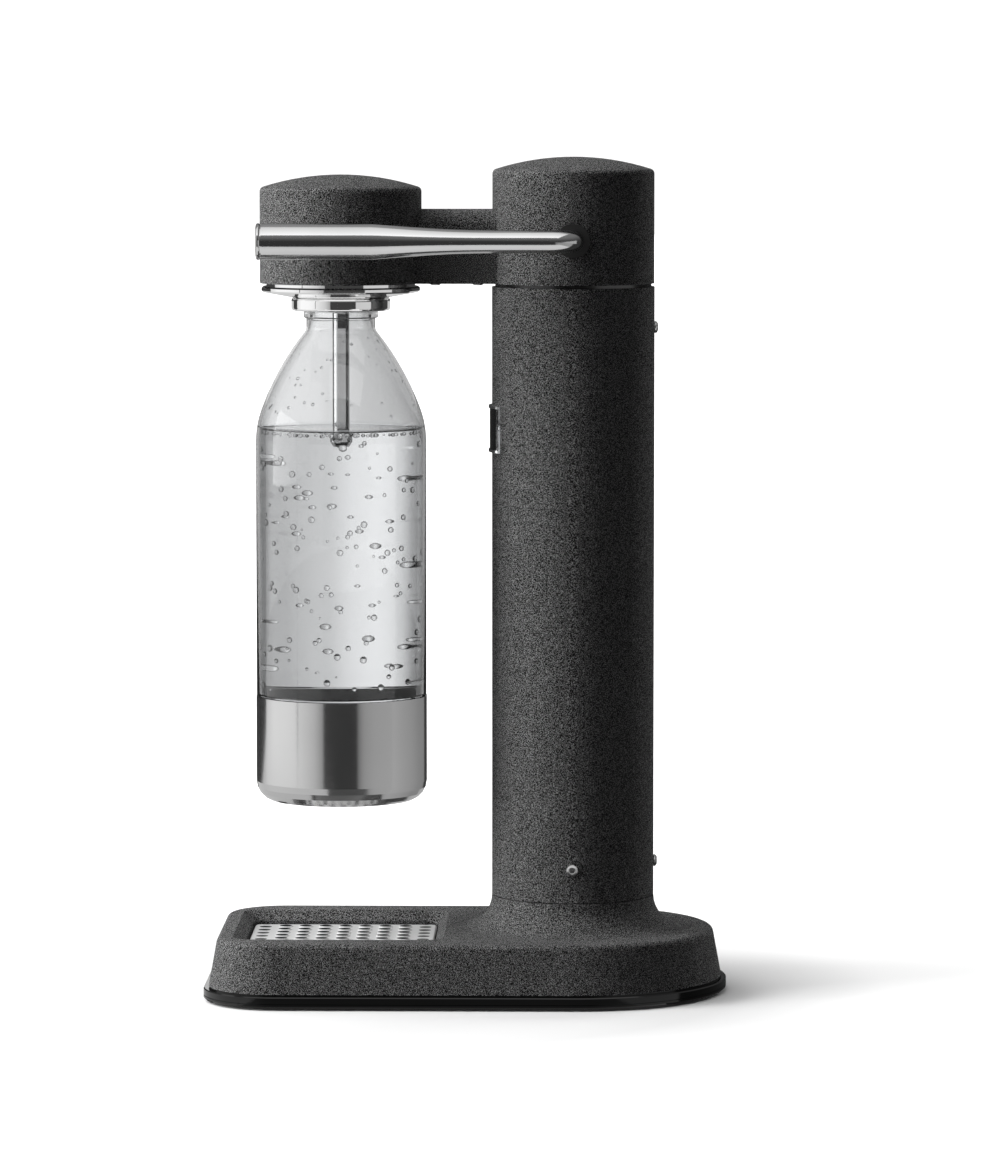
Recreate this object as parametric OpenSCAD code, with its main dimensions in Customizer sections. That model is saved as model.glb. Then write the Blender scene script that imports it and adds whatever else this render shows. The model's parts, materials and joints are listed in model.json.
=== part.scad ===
// Lever carbonator for sparkling water.
// A weighted base with a drip grid, a round column that holds the gas cylinder, a cast head with
// an arm and a nozzle barrel, a side lever that opens the gas through a cam, and a hanging bottle.
// Millimetres, +Z up, +X towards the column, lever on the -Y side, origin under the base's centre.

/* [Base] */
// Width of the base, which is also the diameter of its round rear end
base_w = 153; // [150:1:170]
// Distance from the bottle's axis to the front edge of the base
front_len = 66.5; // [64:0.5:80]
// Radius of the two front corners in plan
front_corner_r = 36; // [30:1:42]
// Height of the coated casting above the rim's shadow gap
shell_h = 24; // [20:0.2:30]
// Draft of the casting's sides in degrees
side_draft = 10.3; // [6:0.1:15]
// Rounding of the casting's top edge
shell_edge_r = 3; // [1.5:0.5:4]
// Wall of the casting
shell_wall = 3; // [2.5:0.25:4]
// Radius of the concave flare that carries the column
flare_r = 16.1; // [12:0.1:17]
// Height of the glossy rim
rim_h = 3.7; // [3:0.1:8]
// How far the rim stands proud of the casting
rim_proud = 2.5; // [1:0.25:3]
// Height of the shadow gap between rim and casting
rim_gap = 0.9; // [0.5:0.1:1.5]
// Width of the ledge inside the rim that carries the casting
rim_ledge_w = 5; // [4:0.25:7]
// Thickness of the bottom plate
plate_t = 1.8; // [1.5:0.1:3]
// Height of the rubber feet
foot_h = 1.2; // [0.8:0.1:3]
// Radius of the rubber feet
foot_r = 7; // [5:0.5:9]
// Shank radius of the screws in the bottom plate
base_screw_r = 1.5; // [1.25:0.25:2]

/* [Drip grid] */
// Side of the square grid
grid_size = 92; // [84:1:96]
// Corner radius of the grid
grid_corner_r = 4; // [2:0.5:8]
// Sheet thickness of the grid
grid_t = 1.2; // [0.8:0.1:2]
// Depth of the grid's face below the base's top
grid_drop = 6.6; // [4.5:0.1:8]
// Depth of the recess floor below the base's top
recess_depth = 13; // [11:0.25:14]
// Gap between the grid and its recess
grid_gap = 1.2; // [0.5:0.1:2]
// Width of the sloped lip round the recess
lip_w = 4.8; // [3:0.2:6]
// Depth of the sloped lip
lip_depth = 5; // [3:0.25:6]
// Radius of the drain holes
hole_r = 2.9; // [2:0.1:3.4]
// Spacing of the hole columns
hole_pitch_x = 10.1; // [9:0.1:11]
// Spacing of the hole rows
hole_pitch_y = 10.6; // [9:0.1:11]
// Number of hole columns
hole_columns = 7; // [4:1:7]
// Number of hole rows
hole_rows = 8; // [4:1:8]
// Height of the pressed rim round each hole
hole_rim_h = 0.5; // [0.3:0.1:2]
// Width of the pressed rim round each hole
hole_rim_w = 0.6; // [0.4:0.1:0.9]

/* [Column] */
// Distance from the column's axis to the bottle's axis
reach = 115; // [112:1:130]
// Outer radius of the column
column_r = 40.2; // [39:0.1:42]
// Length of the column tube
column_len = 301.8; // [290:0.1:330]
// Wall of the column tube
column_wall = 2.5; // [2:0.25:3]
// Height of the seam under the column
foot_seam = 0.5; // [0.3:0.1:1]
// Length of the spigot that the column stands on
spigot_len = 24; // [20:1:40]
// Wall of the spigot and of the joint ring's skirt
spigot_wall = 4.3; // [3.5:0.1:5]
// Height of the foot screws above the column's lower end
foot_screw_rise = 16.2; // [8:0.2:18]
// Depth of the top screw below the column's upper end
top_screw_drop = 20; // [12:0.1:24]
// Head radius of the column screws
column_screw_head_r = 3; // [2.6:0.1:3.6]
// Head height of the column screws
column_screw_head_h = 1.7; // [1.2:0.1:2.2]
// Shank radius of the column screws
column_screw_r = 2; // [1.5:0.1:2.2]

/* [Badge] */
// Height of the badge's centre above the column's lower end
badge_rise = 231.8; // [180:0.2:250]
// Height of the badge
badge_h = 23; // [16:0.5:30]
// Angle that the badge spans round the column, in degrees
badge_span = 62; // [40:1:80]
// How far the badge's frame stands proud of the column
badge_proud = 1.7; // [1:0.1:2.2]
// Width of the badge's frame
badge_border = 1.3; // [0.8:0.1:2]
// How far the badge's panel lies below its frame
badge_sink = 0.6; // [0.3:0.1:0.8]

/* [Head, arm and barrel] */
// Height of the groove between column and head
head_seam = 1.7; // [1.2:0.1:3]
// Depth of the groove between column and head
seam_depth = 1.6; // [0.8:0.1:2]
// Outer radius of the head and of the nozzle barrel
head_r = 40; // [39:0.1:42]
// Height of the head, dome included
head_h = 62.3; // [58:0.1:70]
// Height of the nozzle barrel, dome included
barrel_h = 53.5; // [50:0.1:58]
// Spherical radius of the domes
dome_r = 126; // [100:1:200]
// Rounding of the domes' edges
dome_edge_r = 2.5; // [1:0.25:4]
// Wall of the head casting
cast_wall = 3; // [2.5:0.25:3.5]
// Thickness of the casting over its hollow, at the middle of a dome
crown_t = 11; // [9:0.5:13]
// Height of the arm
arm_h = 36.5; // [35:0.1:40]
// Width of the arm
arm_w = 29; // [28:0.5:34]
// Rounding of the arm's upper edges
arm_edge_r = 9; // [5:0.5:11]
// Fillet between the arm and the two round ends
arm_fillet_r = 1; // [0.5:0.25:6]
// Thickness of the cover under the arm
arm_cover_t = 3; // [2.5:0.25:4]
// Head radius of the arm's screws
arm_screw_head_r = 2.6; // [2:0.1:3]
// Head height of the arm's screws
arm_screw_head_h = 1; // [0.6:0.1:1.6]
// Spacing of the arm's screws
arm_screw_pitch = 21; // [16:0.5:22]

/* [Lever] */
// Height of the lever's pivot above the head's lower edge
lever_rise = 21.8; // [20:0.1:26]
// Distance of the lever's grip from the column's axis, sideways
lever_offset = 53.5; // [52:0.25:58]
// Length from the pivot to the end of the grip
lever_len = 151; // [140:0.1:165]
// Radius of the grip
grip_r = 9; // [8:0.25:10]
// Length of the grip
grip_len = 53.5; // [45:0.5:75]
// Length of the taper from grip to arm
taper_len = 61.5; // [40:0.5:70]
// Radius of the slim arm
lever_r = 5.6; // [5.5:0.1:6.5]
// Travel of the lever in degrees
lever_travel = 30; // [20:1:30]
// Bend radius where the arm turns into the head
lever_bend_r = 11; // [9:0.25:11.5]
// Thickness of the grip's end cap
end_cap_t = 2.7; // [2:0.1:4]
// Wall of the bush in the head
bush_wall = 2.7; // [1.8:0.1:3]
// How far the bush stands out of the head
bush_proud = 1.9; // [1:0.1:2]

/* [Valve train] */
// Radius of the cam's shaft
shaft_r = 4.5; // [4:0.1:4.8]
// Radius of the cam
cam_r = 11; // [10.8:0.1:11.5]
// Eccentricity of the cam
cam_throw = 5; // [4:0.1:5]
// Thickness of the cam
cam_t = 10; // [6:0.5:12]
// Thickness of the shaft's retaining clip
clip_t = 1.2; // [0.8:0.1:2]
// Radius of the plunger's stem
plunger_r = 4; // [3.6:0.1:4.2]
// Radius of the plunger's nose, which follows the pin into the valve
plunger_nose_r = 2.8; // [2.2:0.1:3]
// Radius of the plunger's head
plunger_head_r = 8; // [7.5:0.1:9]
// Thickness of the plunger's head
plunger_head_t = 2.5; // [2:0.1:3]
// Wire diameter of the plunger's spring
spring_wire = 1; // [0.8:0.1:1.1]
// Turns of the plunger's spring
spring_turns = 3; // [2:0.5:3]
// Radius of the valve block's socket body
block_r = 16; // [15:0.5:18]
// Thickness of the valve block's flange
block_flange_t = 3; // [2.5:0.25:3.5]
// Depth of the spring's seat below the flange's face
spring_seat_depth = 2.5; // [2:0.1:3]
// Thickness of the land that guides the plunger
guide_len = 4.7; // [4:0.1:6]
// Shank radius of the valve block's screws
block_screw_r = 1.2; // [1:0.1:1.3]

/* [Gas cylinder] */
// Radius of the gas cylinder
cylinder_r = 30; // [28:0.5:31]
// Wall of the gas cylinder
cylinder_wall = 3; // [2.5:0.25:4]
// Radius of the cylinder's neck
cylinder_neck_r = 14; // [13:0.5:15]
// Height of the cylinder's foot above the floor
cylinder_rise = 5; // [4:0.5:12]
// Radius of the valve's thread
valve_r = 10.5; // [10:0.1:11]
// Length of the valve's thread
valve_len = 12; // [10:0.5:14]
// Height of the valve's shoulder
valve_shoulder_h = 10; // [8:0.5:14]
// Thickness of the seal over the valve
block_seal_t = 1.5; // [1:0.1:2]
// Radius of the valve's pin
valve_pin_r = 3.2; // [2.6:0.1:3.4]

/* [Gas line] */
// Outer radius of the hose
hose_r = 4; // [3.6:0.1:4.4]
// Radius of the spigots that the hose is pushed on
barb_r = 2.4; // [2:0.1:2.6]
// Height of the hose above the valve block's flange
hose_rise = 7.5; // [7:0.25:9]
// Sideways offset of the hose
hose_y = 4; // [3.5:0.25:5]
// Distance of the outlet elbow from the column's axis
elbow_reach = 24; // [23:0.5:26]
// Radius of the outlet elbow's post
elbow_r = 5; // [4.5:0.1:5.2]
// Thickness of the hose's ferrules
ferrule_t = 0.8; // [0.5:0.1:1]
// Length of the hose's ferrules
ferrule_len = 6; // [4:0.5:8]

/* [Nozzle] */
// Gap between the barrel and the nozzle plate
nozzle_gap = 1.5; // [0.5:0.1:2]
// Radius of the nozzle plate
nozzle_plate_r = 39.2; // [38.5:0.1:41]
// Height of the nozzle plate's edge
nozzle_edge_h = 2.9; // [2:0.1:4]
// Height of the nozzle plate's cone
nozzle_cone_h = 2.8; // [2:0.1:6]
// Height of the spigot on top of the nozzle plate
nozzle_spigot_h = 3; // [2.5:0.25:4]
// Radius of the bottle collar
collar_r = 24.5; // [23:0.25:27]
// Height of the bottle collar
collar_h = 6.4; // [5:0.1:8]
// Rounding of the collar's edges
collar_edge_r = 1.5; // [0.5:0.25:2]
// Radius of the nozzle body
nozzle_body_r = 18; // [16:0.5:20]
// Height of the nozzle body above its flange
nozzle_body_h = 19; // [17:0.5:22]
// Thickness of the nozzle body's flange
nozzle_flange_t = 4; // [3.5:0.25:5]
// Shank radius of the nozzle body's screws
nozzle_screw_r = 1.6; // [1.25:0.05:1.8]
// Radius of the nozzle tube
tube_r = 4.2; // [3.8:0.1:4.6]
// Wall of the nozzle tube
tube_wall = 1.2; // [0.8:0.1:1.6]
// How far the nozzle reaches below the bottle collar
tube_reach = 67; // [50:0.5:80]
// Length of the nozzle's tip
tip_len = 6; // [4:0.5:9]
// Thickness of the bottle's seal
bottle_seal_t = 1.7; // [1.2:0.1:2.5]
// Radius of the relief valve
relief_r = 6; // [5:0.25:6.5]
// Height of the relief valve
relief_h = 12; // [9:0.5:13]

/* [Bottle] */
// Radius of the bottle's body
bottle_r = 42.2; // [41.5:0.1:43]
// Length of the bottle below the collar
bottle_len = 243.5; // [232:0.5:250]
// Wall of the bottle
bottle_wall = 1.5; // [1:0.1:2]
// Lower shoulder radius, where the body starts to close
shoulder_low_r = 48; // [40:1:60]
// Angle at which the lower shoulder ends, in degrees
shoulder_low_angle = 20; // [14:1:24]
// Upper shoulder radius
shoulder_high_r = 136; // [120:1:160]
// Radius of the bottle's neck
neck_r = 17.1; // [16.5:0.1:17.5]
// Fillet between shoulder and neck
neck_fillet_r = 4; // [3:0.5:6]
// Length of the neck under the support ring
neck_len = 4.5; // [3:0.25:8]
// Radius of the support ring
support_ring_r = 18.4; // [18:0.1:20]
// Height of the support ring
support_ring_h = 3.3; // [2:0.1:4]
// Outer radius of the mouth that the collar takes
mouth_r = 16.5; // [15.8:0.1:16.8]
// Inner radius of the mouth
mouth_bore_r = 13.5; // [12:0.1:14]
// Height of the steel cup round the bottle's foot
cup_h = 52.3; // [40:0.5:65]
// Radius of the cup
cup_r = 42.4; // [42.2:0.1:43.4]
// Sheet thickness of the cup
cup_t = 0.8; // [0.6:0.1:1.2]
// Rounding of the cup's lower edge
cup_edge_r = 10; // [6:0.5:14]

/* [Fits] */
// Radial clearance of what turns or slides in a bore
running_fit = 0.05; // [0.02:0.01:0.09]
// Clearance of pieces that are fixed in a seat
seat_fit = 0.2; // [0.1:0.05:0.3]
// Gap between curved faces of pieces that move apart
part_gap = 0.3; // [0.2:0.05:0.4]

/* [Hidden] */
$fn = 96;
// Overlap that lets a cut or a boss pass a face cleanly
over = 1;
// Chords in a rounded stretch of an outline
arc_steps = 5;
// Chords in a dome or a bottle shoulder
dome_steps = 8;
// Wall round a screw or a bush in a boss
boss_wall = 3.2;
// How far a screw's head reaches past its shank
head_overhang = 1.7;
// Share of a screw head's radius at the middle and the top of its rounding
button_mid = 0.85;
button_top = 0.5;
pan_top = 0.75;

// Plan: the base's outline is centred on the origin
base_l = base_w / 2 + reach + front_len;
front_x = -base_l / 2;
col_x = base_l / 2 - base_w / 2;
bar_x = col_x - reach;

// Levels of the base
z_plate = foot_h;
z_rim = z_plate + plate_t;
z_rim_top = z_rim + rim_h;
z_shell = z_rim_top + rim_gap;
z_base = z_shell + shell_h;
z_flare = z_base + flare_r;

// Levels of the column and the head
z_column = z_flare + foot_seam;
z_column_top = z_column + column_len;
z_head = z_column_top + head_seam;
z_barrel = z_head;
z_lever = z_head + lever_rise;
z_arm_top = z_barrel + arm_h;

// Rings and bores that stand inside the column
column_bore_r = column_r - column_wall;
spigot_r = column_bore_r - seat_fit;
bay_r = spigot_r - spigot_wall;
cast_bore_r = head_r - cast_wall;

// Parting groove in the edge of the rim
parting_h = 0.4;
parting_depth = 0.8;
rim_edge = 0.5;

// Outline of the casting: [inset from the rim's outline, height], bottom to top
shell_edge_z = z_base - shell_edge_r;
shell_side_z = shell_edge_z + shell_edge_r * sin(side_draft);
shell_edge_in = rim_proud + (shell_side_z - z_shell) * tan(side_draft) + shell_edge_r * cos(side_draft);
shell_outline = concat(
    [[rim_proud, z_shell]],
    [for (k = [0 : arc_steps])
        let (a = side_draft + (90 - side_draft) * k / arc_steps)
        [shell_edge_in - shell_edge_r * cos(a), shell_edge_z + shell_edge_r * sin(a)]]);
hollow_in = rim_proud + shell_wall / cos(side_draft);
hollow_top_z = z_base - shell_wall;
hollow_outline = [
    [hollow_in, z_shell - over],
    [hollow_in + (hollow_top_z - z_shell) * tan(side_draft), hollow_top_z]];

// Screws and feet under the base, in plan
screw_boss_r = base_screw_r + boss_wall;
screw_edge = 21.5;
screw_front = 26;
base_screw_at = [for (s = [-1, 1])
    each [[front_x + screw_front, s * (base_w / 2 - screw_edge)],
        [col_x, s * (base_w / 2 - screw_edge)]]];
base_screw_head_r = base_screw_r + head_overhang;
base_screw_land = 0.6;
base_screw_head_h = plate_t - base_screw_land;
base_screw_len = 14;
foot_front = 52;
foot_edge = 18;
foot_angle = 45;
foot_ring_r = base_w / 2 - foot_edge;
foot_at = [for (s = [-1, 1])
    each [[front_x + foot_front, s * foot_ring_r],
        [col_x + foot_ring_r * cos(foot_angle), s * foot_ring_r * sin(foot_angle)]]];

// Drip recess
pocket_half = grid_size / 2 + grid_gap;
pocket_corner_r = grid_corner_r + grid_gap;
z_recess = z_base - recess_depth;
z_lip = z_base - lip_depth;
z_grid = z_base - grid_drop;
grid_rest = 0.1;

// Column screws: [angle round the column, height]
z_foot_screw = z_column + foot_screw_rise;
z_top_screw = z_column_top - top_screw_drop;
foot_screw_at = [[-90, z_foot_screw], [90, z_foot_screw], [0, z_foot_screw]];
top_screw_at = [[0, z_top_screw]];
column_screw_seat = 0.02;
socket_r = 0.4 * column_screw_head_r;
socket_depth = 0.65 * column_screw_head_h;

// Joint ring between column and head
skirt_below_screw = 8;
joint_skirt = top_screw_drop + skirt_below_screw;

// Badge
z_badge = z_column + badge_rise;
badge_seat_r = column_r + running_fit;

// Hollow of the head casting
head_roof_z = z_head + head_h - crown_t;
barrel_roof_z = z_barrel + barrel_h - crown_t;
arm_wall = 3.5;
arm_roof_t = 4.8;
channel_inset = 1.8;
channel_sill = 4.5;
channel_w = arm_w - 2 * arm_wall;
channel_roof_z = z_arm_top - arm_roof_t;
channel_x0 = bar_x + head_r + channel_inset;
channel_x1 = col_x - head_r - channel_inset;
passage_z = z_barrel + channel_sill;
arm_post_r = 3.2;
arm_post_y = -6.6;
arm_screw_r = 1.25;
arm_screw_len = 9;
arm_mid_x = (channel_x0 + channel_x1) / 2;

// Bearings of the lever's shaft
bush_r = lever_r + running_fit + bush_wall;
bush_inner_y = -31;
bush_outer_y = -(head_r + bush_proud);
bearing_boss_r = bush_r + boss_wall;
end_bush_r = shaft_r + running_fit + bush_wall;
end_bush_y0 = 31.5;
end_bush_y1 = 36.5;
end_boss_r = end_bush_r + boss_wall;
end_play = 0.4;

// Lever, from the pivot outwards
lever_y = -lever_offset;
bend_x = -lever_bend_r;
bend_y = lever_y + lever_bend_r;
stub_y = -27;
grip_start = lever_len - grip_len;
// Bias of the taper towards the grip: 1 gives an even S
taper_bias = 0.6;
taper_steps = 16;
end_cap_neck = 0.6;

// Valve block, hung on the joint ring
z_flange = z_head;
z_flange_top = z_flange + block_flange_t;
z_spring_seat = z_flange_top - spring_seat_depth;
z_guide = z_spring_seat - guide_len;
flange_r = cast_bore_r - 2 * seat_fit;
z_valve_top = z_guide - block_seal_t - running_fit * 2;
z_valve_thread = z_valve_top - valve_len;
z_valve_foot = z_valve_thread - valve_shoulder_h;
z_block = z_valve_thread + part_gap;
spring_pocket_r = plunger_head_r + part_gap;
block_screw_ring_r = (bay_r + flange_r) / 2;
block_screw_len = 10;
block_screw_head_r = (flange_r - bay_r) / 2 - running_fit;
block_screw_head_h = 1.6;

// Cam and plunger: the stroke follows from the cam's throw
stroke = cam_throw * sin(lever_travel);
pin_proud = 0.4;
z_cam_low = z_lever - cam_r;
z_plunger_top = z_cam_low - part_gap;
z_plunger_head = z_plunger_top - plunger_head_t;
z_pin_top = z_valve_top + pin_proud;
z_plunger_foot = z_pin_top + part_gap;
z_plunger_step = z_valve_top + stroke + part_gap;
pin_len = 26;
valve_plug_len = 11;
neck_wall = 5;
valve_plug_r = cylinder_neck_r - neck_wall;
spring_mean_r = plunger_head_r - spring_wire;
spring_rings = 12;
spring_sides = 6;

// Gas cylinder
cylinder_shoulder_r = cylinder_r - cylinder_neck_r;
cylinder_neck_len = 16;
z_cylinder_shoulder = z_valve_foot - cylinder_neck_len - cylinder_shoulder_r;
cylinder_foot_r = 8;

// Gas line
z_hose = z_flange_top + hose_rise;
elbow_x = col_x - elbow_reach;
barb_len = 13;
hose_x0 = bar_x + nozzle_body_r + over;
hose_x1 = elbow_x - elbow_r - over;

// Nozzle
z_nozzle_plate = z_barrel - nozzle_gap;
z_nozzle_edge = z_nozzle_plate - nozzle_edge_h;
z_nozzle_cone = z_nozzle_edge - nozzle_cone_h;
z_collar = z_nozzle_cone - collar_h;
z_nozzle_flange = z_nozzle_plate + nozzle_spigot_h;
z_nozzle_body = z_nozzle_flange + nozzle_flange_t;
z_nozzle_top = z_nozzle_body + nozzle_body_h;
z_tip = z_collar - tube_reach;
collar_clearance = 0.5;
collar_step = 1;
collar_bore_r = mouth_r + collar_clearance;
cone_foot_r = collar_r - collar_step;
nozzle_edge_round = 0.8;
nozzle_screw_inset = 7;
nozzle_screw_ring_r = cast_bore_r - nozzle_screw_inset;
nozzle_screw_angles = [60, 180, 300];
nozzle_boss_r = nozzle_screw_r + boss_wall;
nozzle_screw_len = 11;
nozzle_screw_head_r = nozzle_screw_r + head_overhang;
nozzle_screw_head_h = 2;
seal_lip = 3;
bottle_seal_bore_r = mouth_bore_r - seal_lip;

// Bottle: the shoulder is two convex arcs and a concave one, each tangent to the next
z_bottle = z_collar - bottle_len;
z_cup_top = z_bottle + cup_h;
z_support_ring = z_collar - part_gap - support_ring_h;
z_neck = z_support_ring - neck_len;
z_mouth = z_nozzle_flange - bottle_seal_t - part_gap;
foot_body_r = cup_r - cup_t - part_gap;
shoulder_mid_r = bottle_r - shoulder_low_r * (1 - cos(shoulder_low_angle));
shoulder_high_angle = acos((neck_r - shoulder_mid_r + shoulder_high_r * cos(shoulder_low_angle)
    + neck_fillet_r) / (shoulder_high_r + neck_fillet_r));
z_shoulder = z_neck - shoulder_low_r * sin(shoulder_low_angle)
    - shoulder_high_r * (sin(shoulder_high_angle) - sin(shoulder_low_angle))
    - neck_fillet_r * sin(shoulder_high_angle);

coat = [0.11, 0.11, 0.115];
gloss_black = [0.05, 0.05, 0.055];
steel = [0.72, 0.73, 0.75];
chrome = [0.82, 0.83, 0.85];
brass = [0.75, 0.6, 0.3];
rubber = [0.09, 0.09, 0.09];
clear = [0.8, 0.86, 0.9, 0.45];

// Points along an arc about a centre, from one angle to another
function arc(c, r, from, to, steps = arc_steps) =
    [for (k = [0 : steps]) let (a = from + (to - from) * k / steps) c + r * [cos(a), sin(a)]];

// An outline of [inset, height] points as a half section about a round end of radius r
function half_section(r, points) = concat(
    [[0, points[0][1]]],
    [for (p = points) [r - p[0], p[1]]],
    [[0, points[len(points) - 1][1]]]);

// The same outline as a full section across two straight sides that lie half a width apart
function full_section(half, points) = concat(
    [for (p = points) [half - p[0], p[1]]],
    [for (k = [len(points) - 1 : -1 : 0]) [points[k][0] - half, points[k][1]]]);

module on_column() {
    translate([col_x, 0, 0]) children();
}

module on_barrel() {
    translate([bar_x, 0, 0]) children();
}

module turned(points) {
    rotate_extrude() polygon(points);
}

// A straight sleeve about Z
module sleeve(r_out, r_in, z0, z1) {
    rotate_extrude() translate([r_in, z0]) square([r_out - r_in, z1 - z0]);
}

// Round bars along the three axes
module bar_z(r, z0, z1) {
    translate([0, 0, z0]) cylinder(r = r, h = z1 - z0);
}

module bar_y(r, y0, y1) {
    translate([0, y0, 0]) rotate([-90, 0, 0]) cylinder(r = r, h = y1 - y0);
}

module bar_x_axis(r, x0, x1) {
    translate([x0, 0, 0]) rotate([0, 90, 0]) cylinder(r = r, h = x1 - x0);
}

// A solid on the base's plan, with a round rear end and two rounded front corners
module base_form(points) {
    corner_x = front_x + front_corner_r;
    corner_y = base_w / 2 - front_corner_r;
    z_low = points[0][1];
    z_high = points[len(points) - 1][1];
    on_column() turned(half_section(base_w / 2, points));
    for (s = [-1, 1])
        translate([corner_x, s * corner_y, 0]) turned(half_section(front_corner_r, points));
    translate([corner_x, 0, 0]) rotate([90, 0, 90])
        linear_extrude(col_x - corner_x) polygon(full_section(base_w / 2, points));
    translate([0, corner_y, 0]) rotate([90, 0, 0]) linear_extrude(2 * corner_y)
        polygon(concat(
            [for (p = points) [front_x + p[0], p[1]]],
            [[bar_x, z_high], [bar_x, z_low]]));
}

// A solid on a square plan with rounded corners, about the bottle's axis
module pad_form(half, corner_r, points) {
    flat = half - corner_r;
    on_barrel() {
        for (sx = [-1, 1], sy = [-1, 1])
            translate([sx * flat, sy * flat, 0]) turned(half_section(corner_r, points));
        for (turn = [0, 90])
            rotate([0, 0, turn]) translate([-flat, 0, 0]) rotate([90, 0, 90])
                linear_extrude(2 * flat) polygon(full_section(half, points));
    }
}

// Base

module base_shell() {
    color(coat) difference() {
        union() {
            base_form(shell_outline);
            on_column() turned(concat(
                [[0, z_base - shell_wall], [column_r + flare_r, z_base - shell_wall]],
                arc([column_r + flare_r, z_flare], flare_r, 270, 180, dome_steps),
                [[column_r - seam_depth, z_flare], [column_r - seam_depth, z_column],
                    [spigot_r, z_column], [spigot_r, z_column + spigot_len], [0, z_column + spigot_len]]));
        }
        difference() {
            base_form(hollow_outline);
            pad_form(pocket_half + shell_wall, pocket_corner_r + shell_wall,
                [[0, z_recess - shell_wall], [0, z_base]]);
            on_column() bar_z(spigot_r + shell_wall, z_shell - 2 * over, z_base);
            for (p = base_screw_at)
                translate(p) bar_z(screw_boss_r, z_rim, z_base);
        }
        pad_form(pocket_half, pocket_corner_r,
            [[0, z_recess], [0, z_lip], [-lip_w, z_base], [-lip_w, z_base + over]]);
        on_column() bar_z(bay_r, z_shell - over, z_column + spigot_len + over);
        for (p = base_screw_at)
            translate(p) bar_z(base_screw_r + running_fit, z_rim - over, z_rim + base_screw_len);
        on_column() for (s = foot_screw_at)
            radial(s) bar_z(column_screw_r + running_fit, bay_r - over, column_r);
    }
}

// Turns what lies along Z to point out of the column at [angle, height]
module radial(s) {
    rotate([0, 0, s[0]]) translate([0, 0, s[1]]) rotate([0, 90, 0]) children();
}

module base_rim() {
    color(gloss_black) difference() {
        base_form([
            [parting_depth, z_rim], [parting_depth, z_rim + parting_h], [0, z_rim + parting_h],
            [0, z_rim_top - rim_edge], [rim_edge, z_rim_top],
            [rim_proud + rim_edge, z_rim_top], [rim_proud + rim_edge, z_shell]]);
        base_form([
            [rim_proud + rim_ledge_w, z_rim - over], [rim_proud + rim_ledge_w, z_shell + over]]);
    }
}

module bottom_plate() {
    color(gloss_black) difference() {
        base_form([[parting_depth, z_plate], [0, z_plate + parting_depth], [0, z_rim]]);
        on_column() bar_z(bay_r, z_plate - over, z_rim + over);
        for (p = base_screw_at) translate(p) {
            bar_z(base_screw_r + seat_fit, z_plate - over, z_rim + over);
            bar_z(base_screw_head_r + seat_fit, z_plate - over, z_plate + base_screw_head_h);
        }
    }
}

module rubber_feet() {
    color(rubber) for (p = foot_at) translate(p) bar_z(foot_r, 0, z_plate);
}

module base_screws() {
    color(steel) for (p = base_screw_at) translate(p) difference() {
        union() {
            bar_z(base_screw_head_r, z_plate + seat_fit, z_plate + base_screw_head_h);
            bar_z(base_screw_r, z_plate + base_screw_head_h, z_rim + base_screw_len - over);
        }
        translate([0, 0, z_plate])
            cylinder(r = base_screw_r, h = base_screw_head_h - 2 * seat_fit, $fn = 6);
    }
}

// Drip grid: a pressed sheet with a skirt and a field of rimmed holes

module hole_field() {
    for (i = [0 : hole_columns - 1], j = [0 : hole_rows - 1])
        translate([(i - (hole_columns - 1) / 2) * hole_pitch_x, (j - (hole_rows - 1) / 2) * hole_pitch_y])
            children();
}

module drip_grid() {
    half = grid_size / 2;
    color(steel) difference() {
        union() {
            pad_form(half, grid_corner_r,
                [[0, z_recess + grid_rest], [0, z_grid - grid_t / 2], [grid_t / 2, z_grid]]);
            on_barrel() translate([0, 0, z_grid - grid_t / 2]) linear_extrude(grid_t / 2 + hole_rim_h)
                hole_field() circle(hole_r + hole_rim_w);
        }
        pad_form(half - grid_t, grid_corner_r - grid_t,
            [[0, z_recess - over], [0, z_grid - grid_t]]);
        on_barrel() translate([0, 0, z_grid - grid_t - over]) linear_extrude(grid_t + hole_rim_h + 2 * over)
            hole_field() circle(hole_r);
    }
}

// Column

module column_tube() {
    color(coat) on_column() difference() {
        sleeve(column_r, column_bore_r, z_column, z_column_top);
        for (s = concat(foot_screw_at, top_screw_at))
            radial(s) bar_z(column_screw_r + running_fit, column_bore_r - over, column_r + over);
    }
}

module column_screw() {
    seat = column_r + column_screw_seat;
    edge = column_screw_head_h / 3;
    difference() {
        turned([
            [0, bay_r + seat_fit], [column_screw_r, bay_r + seat_fit], [column_screw_r, seat],
            [column_screw_head_r, seat], [column_screw_head_r, seat + edge],
            [column_screw_head_r * button_mid, seat + 2 * edge],
            [column_screw_head_r * button_top, seat + column_screw_head_h],
            [0, seat + column_screw_head_h]]);
        translate([0, 0, seat + column_screw_head_h - socket_depth])
            cylinder(r = socket_r, h = socket_depth + over, $fn = 6);
    }
}

module column_foot_screws() {
    color(steel) on_column() for (s = foot_screw_at) radial(s) column_screw();
}

module column_top_screw() {
    color(steel) on_column() for (s = top_screw_at) radial(s) column_screw();
}

module joint_ring() {
    color(steel) on_column() difference() {
        turned([
            [bay_r, z_column_top - joint_skirt], [spigot_r, z_column_top - joint_skirt],
            [spigot_r, z_column_top], [column_r - seam_depth, z_column_top],
            [column_r - seam_depth, z_head], [bay_r, z_head]]);
        for (s = top_screw_at) radial(s) bar_z(column_screw_r + running_fit, bay_r - over, column_r);
        block_screw_places() bar_z(block_screw_r + running_fit, z_head - block_screw_len, z_head + over);
    }
}

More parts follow.
